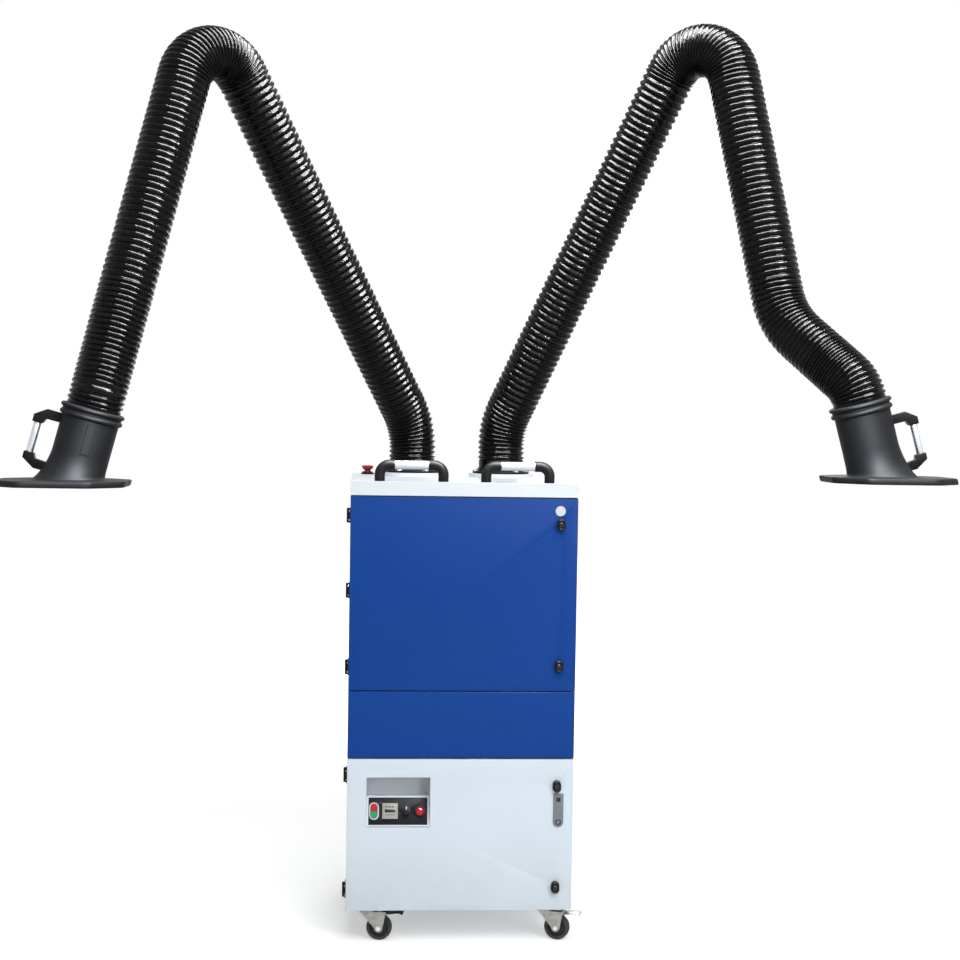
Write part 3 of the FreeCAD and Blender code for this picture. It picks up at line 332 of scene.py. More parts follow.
def moulded(name, colour, roughness, grain=900, gloss=0.12):
    plastic = Finish(name, colour, roughness, {"Specular IOR Level": gloss})
    cloud = plastic.noise(14, 3.0)
    plastic.set("Base Color", plastic.tones(cloud, dark=0.75, pale=1.35))
    plastic.set("Roughness", cloud * 0.16 + (roughness - 0.08))
    plastic.bump(plastic.noise(grain, 2.0), depth=0.0004, strength=0.18)
    return plastic.material


def glossy(name, colour, roughness=0.22):
    clear_coat = {"Specular IOR Level": 0.2, "Coat Weight": 0.2, "Coat Roughness": 0.08}
    plastic = Finish(name, colour, roughness, clear_coat)
    cloud = plastic.noise(60, 2.0)
    plastic.set("Base Color", plastic.tones(cloud, dark=0.9, pale=1.08))
    plastic.set("Roughness", cloud * 0.12 + (roughness - 0.06))
    return plastic.material


# %% [markdown]
# Plated steel has a blotchy sheen and brushed metal long thin scratches. The hose is a black coated fabric:
# shiny, puckered between the wires and scuffed grey along the crests, whose height the hose's own mesh holds.
# Rubber and filter paper are dull, with grime and soot in soft patches.


# %% Metal, fabric, rubber and paper
def plated(name, colour, roughness, scale):
    metal = Finish(name, colour, roughness, {"Metallic": 1.0})
    patch = metal.noise(scale, 4.0)
    fleck = metal.noise(scale * 9, 2.0)
    metal.set("Base Color", metal.tones(metal.spread(patch, low=0.3, high=0.7), dark=0.72, pale=1.15))
    metal.set("Roughness", patch * 0.22 + fleck * 0.08 + (roughness - 0.14))
    metal.bump(fleck, depth=0.0003, strength=0.15)
    return metal.material


def brushed(name, colour, roughness, stretch):
    metal = Finish(name, colour, roughness, {"Metallic": 1.0})
    scratch = metal.noise(1.0, 3.0, stretch)
    metal.set("Base Color", metal.tones(scratch, dark=0.86, pale=1.08))
    metal.set("Roughness", scratch * 0.22 + (roughness - 0.10))
    metal.bump(scratch, depth=0.0002, strength=0.2)
    return metal.material


def ribbed_fabric(name, colour, scuffed):
    skin = Finish(name, colour, 0.2, {"Specular IOR Level": 0.08})
    crest = node(skin.tree, "ShaderNodeAttribute", {"attribute_name": "rib_height"})["Fac"]
    pucker = skin.noise(80, 1.5)
    scuff = skin.spread(crest, low=0.75, high=1.0) * skin.spread(skin.noise(22, 3.0), low=0.45, high=0.75)
    skin.set("Base Color", skin.mix(scuff, colour, scuffed))
    skin.set("Roughness", pucker * 0.14 + scuff * 0.10 + 0.06)
    skin.bump(pucker, depth=0.0040, strength=0.40)
    return skin.material


def rubber(name, colour, grimy):
    tread = Finish(name, colour, 0.72)
    grime = tread.noise(55, 4.0)
    tread.set("Base Color", tread.mix(tread.spread(grime, low=0.45, high=0.8), colour, grimy))
    tread.set("Roughness", grime * 0.2 + 0.62)
    tread.bump(grime, depth=0.0006, strength=0.3)
    return tread.material


def pleated_paper(name, colour, sooty):
    paper = Finish(name, colour, 0.9)
    paper.set("Base Color", paper.mix(paper.spread(paper.noise(6, 4.0), low=0.45, high=0.9), colour, sooty))
    paper.bump(paper.noise(300, 3.0), depth=0.0006, strength=0.4)
    return paper.material


# %% [markdown]
# This table holds every finish of the object: its colour, its roughness and what else its recipe asks for.

# %% Table of finishes
RECIPES = {
    powder_coat: {
        "blue_paint": ((0.002, 0.048, 0.262), 0.40), "white_paint": ((0.66, 0.74, 0.81), 0.42),
        "cover_paint": ((0.72, 0.77, 0.82), 0.42), "recess_paint": ((0.60, 0.64, 0.68), 0.45),
        "plate_paint": ((0.006, 0.007, 0.013), 0.40), "black_enamel": ((0.008, 0.008, 0.009), 0.36)},
    plated: {
        "galvanised": ((0.42, 0.42, 0.41), 0.42, 30), "zinc": ((0.34, 0.33, 0.31), 0.40, 45),
        "steel": ((0.30, 0.30, 0.31), 0.42, 60), "bright_steel": ((0.66, 0.66, 0.66), 0.30, 80)},
    brushed: {
        "aluminium": ((0.47, 0.49, 0.52), 0.36, (3, 500, 500)),
        "grip_aluminium": ((0.56, 0.59, 0.63), 0.36, (500, 500, 3))},
    moulded: {
        "black_plastic": ((0.006, 0.006, 0.0065), 0.46),
        "hood_plastic": ((0.0056, 0.0064, 0.0076), 0.55, 700, 0.07),
        "hub_plastic": ((0.035, 0.037, 0.040), 0.45), "grey_plastic": ((0.20, 0.22, 0.25), 0.45),
        "white_plastic": ((0.60, 0.62, 0.63), 0.40), "meter_face": ((0.35, 0.34, 0.31), 0.40),
        # The next near-black finish is the cover gap's strip: partly gasket rubber, partly painted gap shadow.
        "seal": ((0.003, 0.003, 0.0035), 0.6), "motor_paint": ((0.10, 0.11, 0.12), 0.5, 400)},
    ribbed_fabric: {"hose": ((0.003, 0.003, 0.0032), (0.010, 0.010, 0.011))},
    rubber: {"tyre": ((0.015, 0.015, 0.016), (0.075, 0.072, 0.068))},
    pleated_paper: {"filter_media": ((0.80, 0.79, 0.75), (0.52, 0.51, 0.48))},
    glossy: {
        "red_plastic": ((0.47, 0.014, 0.022),), "green_plastic": ((0.030, 0.29, 0.15),),
        "lamp_red": ((0.44, 0.012, 0.018), 0.12), "meter": ((0.02, 0.02, 0.022), 0.2)},
}
FINISHES = {name: recipe(name, *values) for recipe, rows in RECIPES.items() for name, values in rows.items()}
print(len(FINISHES), "finishes")

# %% [markdown]
# A few short helpers make most shapes. One skins rings of points, one turns an outline about an axis, and one
# softens a box. Outlines are written in millimetres. The last names the result as a piece that rides on a
# body.

# %% Shape helpers
SMOOTH_ANGLE = radians(32)
WELD = 1e-5


def mm(*points):
    """An outline's points from millimetres to metres."""
    return [(first / 1000, second / 1000) for first, second in points]


def to_mesh(bm):
    """Closes a bmesh into a smooth-shaded mesh whose real corners stay sharp."""
    mesh = bpy.data.meshes.new("shape")
    bm.to_mesh(mesh)
    bm.free()
    mesh.shade_smooth()
    mesh.set_sharp_from_angle(angle=SMOOTH_ANGLE)
    return mesh


def skinned(rings, loop=False, caps=False):
    """A mesh through rings of points. A loop joins the last ring to the first, caps close both ends."""
    bm = bmesh.new()
    rows = [[bm.verts.new(point) for point in ring] for ring in rings]
    pairs = list(zip(rows, rows[1:])) + ([(rows[-1], rows[0])] if loop else [])
    for low, high in pairs:
        for here, there in zip(range(len(low)), list(range(1, len(low))) + [0]):
            bm.faces.new((low[here], low[there], high[there], high[here]))
    if caps:
        bm.faces.new(rows[0])
        bm.faces.new(rows[-1])
    bmesh.ops.remove_doubles(bm, verts=bm.verts, dist=WELD)
    bmesh.ops.recalc_face_normals(bm, faces=bm.faces)
    return to_mesh(bm)


def facing(axis, towards=None):
    """Two directions square to an axis, the first as near as can be to the one asked for."""
    towards = towards or (RIGHT if abs(axis.x) < 0.9 else UP)
    across = (towards - axis * towards.dot(axis)).normalized()
    return across, axis.cross(across)


def turns_of(sides, shift=0.0):
    return [2 * pi * (side + shift) / sides for side in range(sides)]


def turned(outline, place, axis, sides=48, loop=False):
    """An outline of (radius, rise) points turned about an axis that starts at a place."""
    across, along = facing(axis)
    ways = [across * cos(turn) + along * sin(turn) for turn in turns_of(sides)]
    rings = [[place + axis * rise + way * radius for way in ways] for radius, rise in outline]
    return skinned(rings, loop)


def soft_box(placing, edge):
    """A cube of one metre that a matrix sizes, turns and places, with softened edges."""
    bm = bmesh.new()
    bmesh.ops.create_cube(bm, size=1.0, matrix=placing)
    bmesh.ops.bevel(bm, geom=bm.edges[:], offset=edge, segments=2, profile=0.5, affect="EDGES")
    return to_mesh(bm)


def piece(name, mesh, body, finish, replaces=()):
    """Names a mesh as a piece of the object, finishes it and lets it ride on a body."""
    made = add(name, mesh)
    mesh.name = name
    mesh.materials.clear()
    mesh.materials.append(FINISHES[finish])
    if body:
        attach(made, body)
    if replaces:
        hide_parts(*replaces)
    print(name, len(mesh.polygons), "faces")
    return made


# %% [markdown]
# The hose is the largest part of the picture. On the real arm a steel wire winds inside a coated fabric,
# which bulges between the turns and puckers where the hose bends. A lathe can't follow the bends and a sculpt
# wouldn't repeat, so Geometry Nodes do it: a line through the arm's corners gets its bends from Fillet Curve,
# each stretch is trimmed and resampled, a wave along its length sets the radius, and a little noise puckers
# the skin. A Solidify modifier then gives the skin its wall.

# %% Ribbed hose tree
HOSE_SIDES = 56
RINGS_PER_RIB = 8
FILLET_STEPS = 48
PUCKER_SCALE = 70.0
TRIM_START = 4
TRIM_END = 5
HOSE_SIZES = ("Start", "End", "Valley radius", "Crest radius", "Cuff radius", "First cuff", "Last cuff",
              "Ribs", "First phase", "Fullness", "Pucker")


def new_tree(name, inputs, output):
    """A Geometry Nodes tree with named inputs, each of a kind, and one output of geometry."""
    tree = bpy.data.node_groups.new(name, "GeometryNodeTree")
    for label, kind in inputs.items():
        tree.interface.new_socket(label, in_out="INPUT", socket_type="NodeSocket" + kind)
    tree.interface.new_socket(output, in_out="OUTPUT", socket_type="NodeSocketGeometry")
    return tree, node(tree, "NodeGroupInput")


def finished(tree, shape, given, output):
    """Ends a tree: no instances are left, and everything has the finish that was given."""
    real = node(tree, "GeometryNodeRealizeInstances", None, {"Geometry": shape})["Geometry"]
    dressed = node(tree, "GeometryNodeSetMaterial", None, {"Geometry": real, "Material": given["Finish"]})
    node(tree, "NodeGroupOutput", None, {output: dressed["Geometry"]})


def kept(tree, line, name, value):
    """Stores a number on the points of a line under a name."""
    return node(tree, "GeometryNodeStoreNamedAttribute", {"data_type": "FLOAT", "domain": "POINT"},
                {"Geometry": line, "Name": name, "Value": value})["Geometry"]


def hose_tree():
    sizes = {name: "Float" for name in HOSE_SIZES}
    tree, given = new_tree("ribbed_hose", {"Line": "Geometry", **sizes, "Finish": "Material"}, "Hose")
    bend = node(tree, "GeometryNodeInputRadius")["Radius"]
    line = node(tree, "GeometryNodeFilletCurve", {"mode": "POLY"},
                {"Curve": given["Line"], "Radius": bend, "Count": FILLET_STEPS})["Curve"]
    line = node(tree, "GeometryNodeTrimCurve", {"mode": "LENGTH"},
                {"Curve": line, TRIM_START: given["Start"], TRIM_END: given["End"]})["Curve"]
    line = node(tree, "GeometryNodeResampleCurve", {"mode": "COUNT"},
                {"Curve": line, "Count": given["Ribs"] * RINGS_PER_RIB + 1.0})["Curve"]
    along = node(tree, "GeometryNodeSplineParameter")["Length"]
    length = given["End"] - given["Start"]
    ribbed_length = length - given["First cuff"] - given["Last cuff"]
    phase = (along - given["First cuff"]) / ribbed_length * given["Ribs"] + given["First phase"]
    wave = phase.math("SINE", phase * pi)
    height = 1.0 - (1.0 - wave.math("ABSOLUTE", wave)) ** given["Fullness"]
    cuffed = (along < given["First cuff"]) + (along > length - given["Last cuff"]) > 0.5
    ribs = height * (given["Crest radius"] - given["Valley radius"]) + given["Valley radius"]
    radius = cuffed * given["Cuff radius"] + (1.0 - cuffed) * ribs
    line = kept(tree, line, "rib_height", height * (1.0 - cuffed))
    line = kept(tree, line, "slack", 1.0 - cuffed)
    circle = node(tree, "GeometryNodeCurvePrimitiveCircle", None, {"Resolution": HOSE_SIDES, "Radius": 1.0})
    tube = node(tree, "GeometryNodeCurveToMesh", None,
                {"Curve": line, "Profile Curve": circle["Curve"], "Scale": radius})["Mesh"]
    noise = node(tree, "ShaderNodeTexNoise", None, {"Scale": PUCKER_SCALE, "Detail": 3.0})[0]
    slack = node(tree, "GeometryNodeInputNamedAttribute", {"data_type": "FLOAT"},
                 {"Name": "slack"})["Attribute"]
    push = (noise - 0.5) * given["Pucker"] * slack
    normal = node(tree, "GeometryNodeInputNormal")["Normal"]
    offset = node(tree, "ShaderNodeVectorMath", {"operation": "SCALE"}, {0: normal, "Scale": push})["Vector"]
    tube = node(tree, "GeometryNodeSetPosition", None, {"Geometry": tube, "Offset": offset})["Geometry"]
    tube = node(tree, "GeometryNodeSetShadeSmooth", None, {"Geometry": tube})["Geometry"]
    finished(tree, tube, given, "Hose")
    return tree


def baked(source, tree, values, wall=0.0):
    """Runs a tree on an object with some inputs set, and gives the plain mesh, with a wall if asked."""
    modifier = source.modifiers.new("tree", "NODES")
    modifier.node_group = tree
    for item in tree.interface.items_tree:
        if item.in_out == "INPUT" and item.name in values:
            modifier[item.identifier] = values[item.name]
    if wall:
        solid = source.modifiers.new("wall", "SOLIDIFY")
        solid.thickness = wall
        solid.offset = -1.0
    evaluated = source.evaluated_get(bpy.context.evaluated_depsgraph_get())
    mesh = bpy.data.meshes.new_from_object(evaluated)
    source.modifiers.clear()
    return mesh


ribbed = hose_tree()
print(len(ribbed.nodes), "nodes in the hose's tree")

# %% [markdown]
# Each arm's line runs up from its base, over the shoulder to the elbow, down to the wrist and through the
# neck to the hood. The corners come from the joints, and the stretches end where the joints bend the hose, so
# that a straight stretch rides on one link and a bent one turns from one link to the next.

# %% Lines of the hoses
BASE_LEVEL = 1.4653
BASE_TAIL = 0.108
ELBOW_MARGIN = 0.015
WRIST_LEAD = 0.112
ELBOW_RADIUS = 0.125
ELBOW_OFFSET = 0.046
ELBOW_ROUNDS = 6
BEND_RADII = (0.230, ELBOW_RADIUS, 0.230, 0.095)
COLLAR_DROP = 0.050
HOOD_LEAN = radians(15)
SIDES = {"left": -1, "right": 1}


def throat_way(side):
    """Down the hood's throat, which leans outwards."""
    return Vector((SIDES[side] * sin(HOOD_LEAN), 0, -cos(HOOD_LEAN)))


def elbow_corner(shoulder, elbow, wrist):
    """The corner of the hose's line over the elbow's pivot, which lies nearer the outside of the bend."""
    inward = ((wrist - elbow).normalized() + (shoulder - elbow).normalized()).normalized()
    corner = elbow
    for _ in range(ELBOW_ROUNDS):
        half_turn = (corner - shoulder).angle(wrist - corner) / 2
        corner = elbow - inward * (ELBOW_RADIUS * (1 / cos(half_turn) - 1) - ELBOW_OFFSET)
    return corner


class HoseLine:
    """The corners of one arm's hose and where its bends lie along it."""

    def __init__(self, side):
        swivel = pivot(side + "_arm_swivel")
        bends = ("shoulder", "elbow", "wrist", "hood_tilt")
        shoulder, elbow, wrist, hood = (pivot(f"{side}_{name}") for name in bends)
        self.collar = hood + throat_way(side) * COLLAR_DROP
        self.corners = [Vector((swivel.x, swivel.y, BASE_LEVEL)), shoulder,
                        elbow_corner(shoulder, elbow, wrist), wrist, hood, self.collar]
        self.marks = []
        reach = spare = 0.0
        triples = zip(self.corners, self.corners[1:], self.corners[2:], BEND_RADII)
        for before, corner, after, radius in triples:
            turn = (corner - before).angle(after - corner)
            tangent = radius * tan(turn / 2)
            reach += (corner - before).length - spare - tangent
            self.marks.append((reach, reach + radius * turn))
            reach += radius * turn
            spare = tangent
        self.length = reach + (self.corners[-1] - self.corners[-2]).length - spare

    def stretches(self):
        """Where each stretch of hose starts and ends along the line."""
        shoulder, elbow, wrist, neck = self.marks
        ends = [0.0, sum(shoulder) / 2 + BASE_TAIL, elbow[0] - ELBOW_MARGIN, elbow[1] + ELBOW_MARGIN,
                sum(wrist) / 2 - WRIST_LEAD, (wrist[1] + neck[0]) / 2, self.length]
        return zip(ends, ends[1:])

    def curve(self, name):
        """The line as a curve whose points hold the radius of the bend there."""
        data = bpy.data.curves.new(name, "CURVE")
        data.dimensions = "3D"
        spline = data.splines.new("POLY")
        spline.points.add(len(self.corners) - 1)
        for point, corner, radius in zip(spline.points, self.corners, (0.0, *BEND_RADII, 0.0)):
            point.co = (*corner, 1.0)
            point.radius = radius
        return add(name, data)


lines = {side: HoseLine(side) for side in SIDES}
for side, line in lines.items():
    print(side, "hose", round(line.length, 3), "m")

# %% [markdown]
# A stretch has its own pitch and fullness of rib, because the hose is drawn out where it is straight and
# packed where it bends. Stretches meet on the crest of a rib, where the skin runs straight, so that no seam
# shows.

# %% Hoses of both arms
HOSE_CREST = 0.078
HOSE_VALLEY = 0.0705
HOSE_CUFF_RADIUS = 0.075
HOSE_CUFF = 0.028
HOOD_CUFF = 0.010
HOSE_WALL = 0.0025
PUCKER = 0.003
HALF_RIB = 0.5
NECK_PITCHES = {"left": 0.0155, "right": 0.0100}


def stretch_table(side):
    """Each stretch's pitch, its ribs' fullness, the bodies that carry it and the solid it stands for."""
    return {
        "base_hose": (0.0170, 0.8, ("swivel", "lower_arm"), "base_hose"),
        "lower_hose": (0.0214, 0.75, ("lower_arm",), "lower_hose"),
        "elbow_hose": (0.0120, 1.2, ("lower_arm", "upper_arm"), "elbow_hose"),
        "upper_hose": (0.0190, 1.4, ("upper_arm",), "upper_hose"),
        "wrist_hose": (0.0155, 1.4, ("upper_arm", "neck"), "wrist_hose"),
        "neck_hose": (NECK_PITCHES[side], 1.4, ("neck", "hood"), "wrist_hose"),
    }


def dress_arm(side):
    source = lines[side].curve(side + "_hose_line")
    for (name, row), (start, end) in zip(stretch_table(side).items(), lines[side].stretches()):
        pitch, fullness, riders, solid = row
        first_cuff = HOSE_CUFF if name == "base_hose" else 0.0
        last_cuff = HOOD_CUFF if name == "neck_hose" else 0.0
        ribs = round((end - start - first_cuff - last_cuff) / pitch)
        mesh = baked(source, ribbed, {
            "Start": start, "End": end, "Valley radius": HOSE_VALLEY, "Crest radius": HOSE_CREST,
            "Cuff radius": HOSE_CUFF_RADIUS, "First cuff": first_cuff, "Last cuff": last_cuff,
            "Ribs": ribs + (HALF_RIB if first_cuff or last_cuff else 0.0),
            "First phase": 0.0 if first_cuff else HALF_RIB, "Fullness": fullness, "Pucker": PUCKER,
            "Finish": FINISHES["hose"]}, HOSE_WALL)
        bodies = [f"{side}_{body}" for body in riders]
        blended = len(bodies) == 2
        skin = piece(f"{side}_{name}_skin", mesh, None if blended else bodies[0], "hose",
                     replaces=[f"{side}_{solid}"])
        if blended:
            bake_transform(skin)
    bpy.data.objects.remove(source)


for side in SIDES:
    dress_arm(side)

# %% [markdown]
# The solids are dressed body by body. Most keep their shape: a copy gets small rounded edges, smooth shading
# and its finish, and stands for the solid. A bent sheet never has a razor edge, and the thin highlight along
# it is what reads as metal. Where one node holds pieces of two materials, such as a black flange with bright
# bolts, its separate lumps are told apart by their size.

# %% Copies of the solids
SHARP_ANGLE = radians(40)
FLAT_ANGLE = radians(0.5)
BODY_OF = {solid: body for body, solids in frame["record"]["behaviour"]["bodies"].items() for solid in solids}


def merged(solid):
    """A solid's mesh with its loose triangles joined."""
    bm = bmesh.new()
    bm.from_mesh(frame["nodes"][solid].data)
    bmesh.ops.remove_doubles(bm, verts=bm.verts, dist=WELD)
    return bm


def islands(bm):
    """The separate lumps of a bmesh as lists of vertices."""
    left = set(bm.verts)
    found = []
    while left:
        front = [left.pop()]
        lump = list(front)
        while front:
            vert = front.pop()
            fresh = {edge.other_vert(vert) for edge in vert.link_edges} & left
            left.difference_update(fresh)
            front.extend(fresh)
            lump.extend(fresh)
        found.append(lump)
    return found


def extent(verts):
    """The lowest and highest corners of some vertices."""
    return [Vector([pick(vert.co[axis] for vert in verts) for axis in range(3)]) for pick in (min, max)]


def rounded(solid, width, steps, where, lump):
    """A copy of a solid with its convex edges rounded: all of them, or those whose middle passes a test.
    A lump test keeps only the separate lumps whose lowest and highest corners pass."""
    bm = merged(solid)
    if lump:
        unwanted = [vert for verts in islands(bm) if not lump(*extent(verts)) for vert in verts]
        bmesh.ops.delete(bm, geom=unwanted, context="VERTS")
    bmesh.ops.dissolve_limit(bm, angle_limit=FLAT_ANGLE, verts=bm.verts, edges=bm.edges)
    edges = [edge for edge in bm.edges if edge.is_manifold and edge.calc_face_angle_signed() > SHARP_ANGLE]
    if where:
        edges = [edge for edge in edges if where((edge.verts[0].co + edge.verts[1].co) / 2)]
    if width and edges:
        bmesh.ops.bevel(bm, geom=edges, offset=width, segments=steps, profile=0.5, affect="EDGES",
                        clamp_overlap=True)
    return to_mesh(bm)


def dress(solid, finish, width=0.0006, steps=2, where=None, lump=None, name=None):
    """Lets a copy in a finish, with edges rounded to a width in some steps, stand for a solid."""
    mesh = rounded(solid, width, steps, where, lump)
    return piece((name or solid) + "_dressed", mesh, BODY_OF[solid], finish, [solid])


def all_but(test):
    """The lumps that fail a test."""
    return lambda low, high: not test(low, high)


# %% [markdown]
# The doors and the middle panel are folded sheet, so only their front edges are rounded, and the cover's only
# at its top and at its upright corners. Metal that was cut or cast gets less rounding than moulded plastic.

# %% Dress the cabinet
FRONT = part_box("upper_door")[0].y
COVER_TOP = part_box("handle_bends")[0].z
BODY_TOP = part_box("top_cover")[0].z
HALF_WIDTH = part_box("top_cover")[1].x
HALF_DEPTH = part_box("top_cover")[1].y
NEAR = 0.0005


def on_front(place):
    return place.y < FRONT + NEAR


def on_cover_edge(place):
    corner = abs(place.x) > HALF_WIDTH - NEAR and abs(place.y) > HALF_DEPTH - NEAR
    return corner or place.z > COVER_TOP - NEAR


dress("cabinet_shell", "white_paint", 0)
dress("top_cover", "cover_paint", 0.0022, 3, on_cover_edge)
PANELS = {"middle_panel": "blue_paint", "upper_door": "blue_paint", "lower_door": "white_paint"}
for panel, paint in PANELS.items():
    dress(panel, paint, 0.0018, 3, on_front)
dress("control_pocket", "recess_paint", 0)
dress("fan_deck", "galvanised", 0)
dress("fan_housing", "galvanised", 0.001)
dress("fan_motor", "motor_paint", 0.002)
dress("impeller", "galvanised", 0)
dress("cable_gland", "black_plastic", 0.0008)
dress("handle_bends", "black_plastic", 0.0012)
dress("handle_grips", "aluminium", 0.0008)
HINGES = ("cabinet_hinge_halves", "upper_door_hinge_halves", "lower_door_hinge_halves")
for hinge in HINGES:
    dress(hinge, "black_plastic", 0.0005)
PEDALS = {"front_left": ("black_enamel", "black_plastic"), "front_right": ("zinc", "zinc")}
for castor, (finish, slot) in PEDALS.items():
    dress(castor + "_fork", "zinc")
    dress(castor + "_pedal", finish, 0.0008)
dress("castor_brackets", "zinc")
for side in SIDES:
    dress(side + "_swivel_collar", "black_enamel")
    for link in ("lower", "upper", "neck"):
        dress(f"{side}_{link}_link", "steel", 0)

# %% [markdown]
# Inside, a pleated cartridge stands on the fan deck. Its paper is one lump and its two end caps are others,
# told apart by their height, so that the caps can be black while the paper stays pale.

# %% Filter cartridge
CAP_HEIGHT = 0.05


def is_paper(low, high):
    return (high - low).z > CAP_HEIGHT


dress("filter_cartridge", "filter_media", 0, lump=is_paper, name="filter_pleats")
dress("filter_cartridge", "black_plastic", 0.002, lump=all_but(is_paper), name="filter_caps")

# %% [markdown]
# The hoods are blow-moulded: a round collar with two beads, a throat that flares smoothly into an eight-sided
# flange with a rolled lip. One skin of rings makes it. The rings start square to the leaning throat and level
# out on the way down, then spread from a circle to the flange's outline, go round the lip and come back up
# inside as the wall.

# %% Hood outline
HOOD_WALL = 0.004
HOOD_SIDES = 120
THROAT_RADIUS = 0.079
THROAT_LENGTH = 0.130
SPIGOT_RADIUS = 0.0677
SPIGOT = 0.008
FLARE_GROWTH = 0.018
FLARE_SHIFT = 0.014
FLARE_STEPS = 10
FLARE_POWER = 2.2
FOOT_RISE = 0.006
FOOT_SPREAD = 0.016
FOOT_FILLET = (*mm((2.5, 2.4), (7.0, 0.6)), (FOOT_SPREAD, 0.0))
FLANGE_HEIGHT = 0.018
FLANGE_LIP = 0.006
FLANGE_SKIN = 0.004
FLANGE_ROUND = mm((1.2, -1.2), (0, -4.5), (0, -13.5), (1.2, -16.8), (3.4, -18), (5, -18), (6, -17))
FACE_INSET = 0.004
FACE_SHARES = (0.35, 0.7, 1.0)
FLANGE_REACHES = {0: 0.212, 45: 0.2015, 90: 0.155, 135: 0.1591, 180: 0.152, 225: 0.1591, 270: 0.155,
                  315: 0.2015}
CORNER_SHARPNESS = 46
COLLAR_LINE = mm(
    (67.7, -0.5), (80, 0), (85, 1), (88.2, 4), (89, 7.2), (87.8, 10.6), (84.5, 13.2), (82.2, 14.6),
    (82, 18.5), (83.8, 20), (86.6, 22.6), (87.6, 26.2), (86.6, 30), (83, 32.8), (79.2, 34.5),
    (79, 50), (79, 90))
INNER_DROPS = (0.09, 0.03)


def flange_reach(turn, inset):
    """How far the flange's outline lies from the throat's axis, with slightly rounded corners."""
    total = 0.0
    for degrees, reach in FLANGE_REACHES.items():
        share = cos(turn - radians(degrees)) / (reach - inset)
        total += max(share, 0.0) ** CORNER_SHARPNESS
    return total ** (-1.0 / CORNER_SHARPNESS)


class HoodForm:
    """Rings round one hood's throat, from the collar down to the flange."""

    def __init__(self, side):
        self.collar = lines[side].collar
        self.way = throat_way(side)
        self.out = Vector((SIDES[side], 0, 0))
        self.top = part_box(side + "_hood")[0].z + FLANGE_HEIGHT

    def drop_to(self, level):
        return (self.collar.z - level) / cos(HOOD_LEAN)

    def point(self, turn, radius, drop, lean=HOOD_LEAN):
        across = self.out * cos(lean) + UP * sin(lean)
        return self.collar + self.way * drop + (across * cos(turn) - OUTWARD * sin(turn)) * radius

    def ring(self, radius, drop, lean=HOOD_LEAN):
        return [self.point(turn, radius(turn) if callable(radius) else radius, drop, lean)
                for turn in turns_of(HOOD_SIDES)]

    def mouth(self, turn):
        """The flare's foot, which swells on the handle's side and hardly at all on the arm's."""
        return THROAT_RADIUS + FLARE_GROWTH + FLARE_SHIFT * cos(turn)

    def flare(self, inset):
        """Rings from the throat to just above the flange, drawn in by an inset."""
        end = self.drop_to(self.top + FOOT_RISE)
        rings = []
        for step in range(FLARE_STEPS + 1):
            share = step / FLARE_STEPS
            level = 1 - share * share * (3 - 2 * share)

            def radius(turn, swell=share ** FLARE_POWER):
                return THROAT_RADIUS + (self.mouth(turn) - THROAT_RADIUS) * swell - inset

            rings.append(self.ring(radius, THROAT_LENGTH + (end - THROAT_LENGTH) * share, HOOD_LEAN * level))
        return rings

    def flat(self, rise, radius):
        """A level ring at a rise above the flange's top."""
        return self.ring(radius, self.drop_to(self.top + rise), 0.0)

    def foot(self, out):
        return lambda turn: self.mouth(turn) + out

    def spread(self, share, inset):
        """Between the foot of the flare and the flange's outline."""
        near = self.foot(FOOT_SPREAD)
        return lambda turn: near(turn) + (flange_reach(turn, inset) - near(turn)) * share

    def rings(self):
        outside = [self.ring(*spot) for spot in ((SPIGOT_RADIUS, -SPIGOT), *COLLAR_LINE)] + self.flare(0.0)
        fillet = [self.flat(rise, self.foot(out)) for out, rise in FOOT_FILLET]
        face = [self.flat(0.0, self.spread(share, FACE_INSET)) for share in FACE_SHARES]
        edge = [self.flat(rise, self.spread(1.0, inset))
                for inset, rise in (*FLANGE_ROUND, (FLANGE_LIP, -FLANGE_SKIN))]
        under = [self.flat(-FLANGE_SKIN, self.foot(0.0))]
        inside = self.flare(HOOD_WALL)[::-1]
        inside += [self.ring(THROAT_RADIUS - HOOD_WALL, drop) for drop in INNER_DROPS]
        spigot = [self.ring(SPIGOT_RADIUS - HOOD_WALL, drop) for drop in (0.0, -SPIGOT)]
        return outside + fillet + face + edge + under + inside + spigot


hoods = {side: HoodForm(side) for side in SIDES}
for side, form in hoods.items():
    hood = side + "_hood"
    shell = piece(hood + "_shell", skinned(form.rings(), loop=True), hood, "hood_plastic", replaces=[hood])
    hood_gloss.objects.link(shell)

# %% [markdown]
# Inside the throat a cross bar and a stem carry the hood on the neck's pivot. The outer skin above stands for
# the whole solid, so the bar and the stem are made again here from the joint and the throat. Each hood has a
# grip of aluminium between two black brackets: the grip is the lump that reaches across the middle height.

# %% Hood bars and handles
BAR_DROP = 0.034
BAR_HALF = 0.007
BAR_ROUND = 1.25
BAR_SIDES = 8


def bar_between(name, start, end, towards, body):
    """A square bar with softened edges from one point to another."""
    across, rise = facing((end - start).normalized(), towards)
    corners = [(across * cos(turn) + rise * sin(turn)) * BAR_HALF * BAR_ROUND
               for turn in turns_of(BAR_SIDES, 0.5)]
    rings = [[middle + corner for corner in corners] for middle in (start, end)]
    piece(name, skinned(rings, caps=True), body, "hood_plastic")


def crosses(level):
    return lambda low, high: low.z < level < high.z


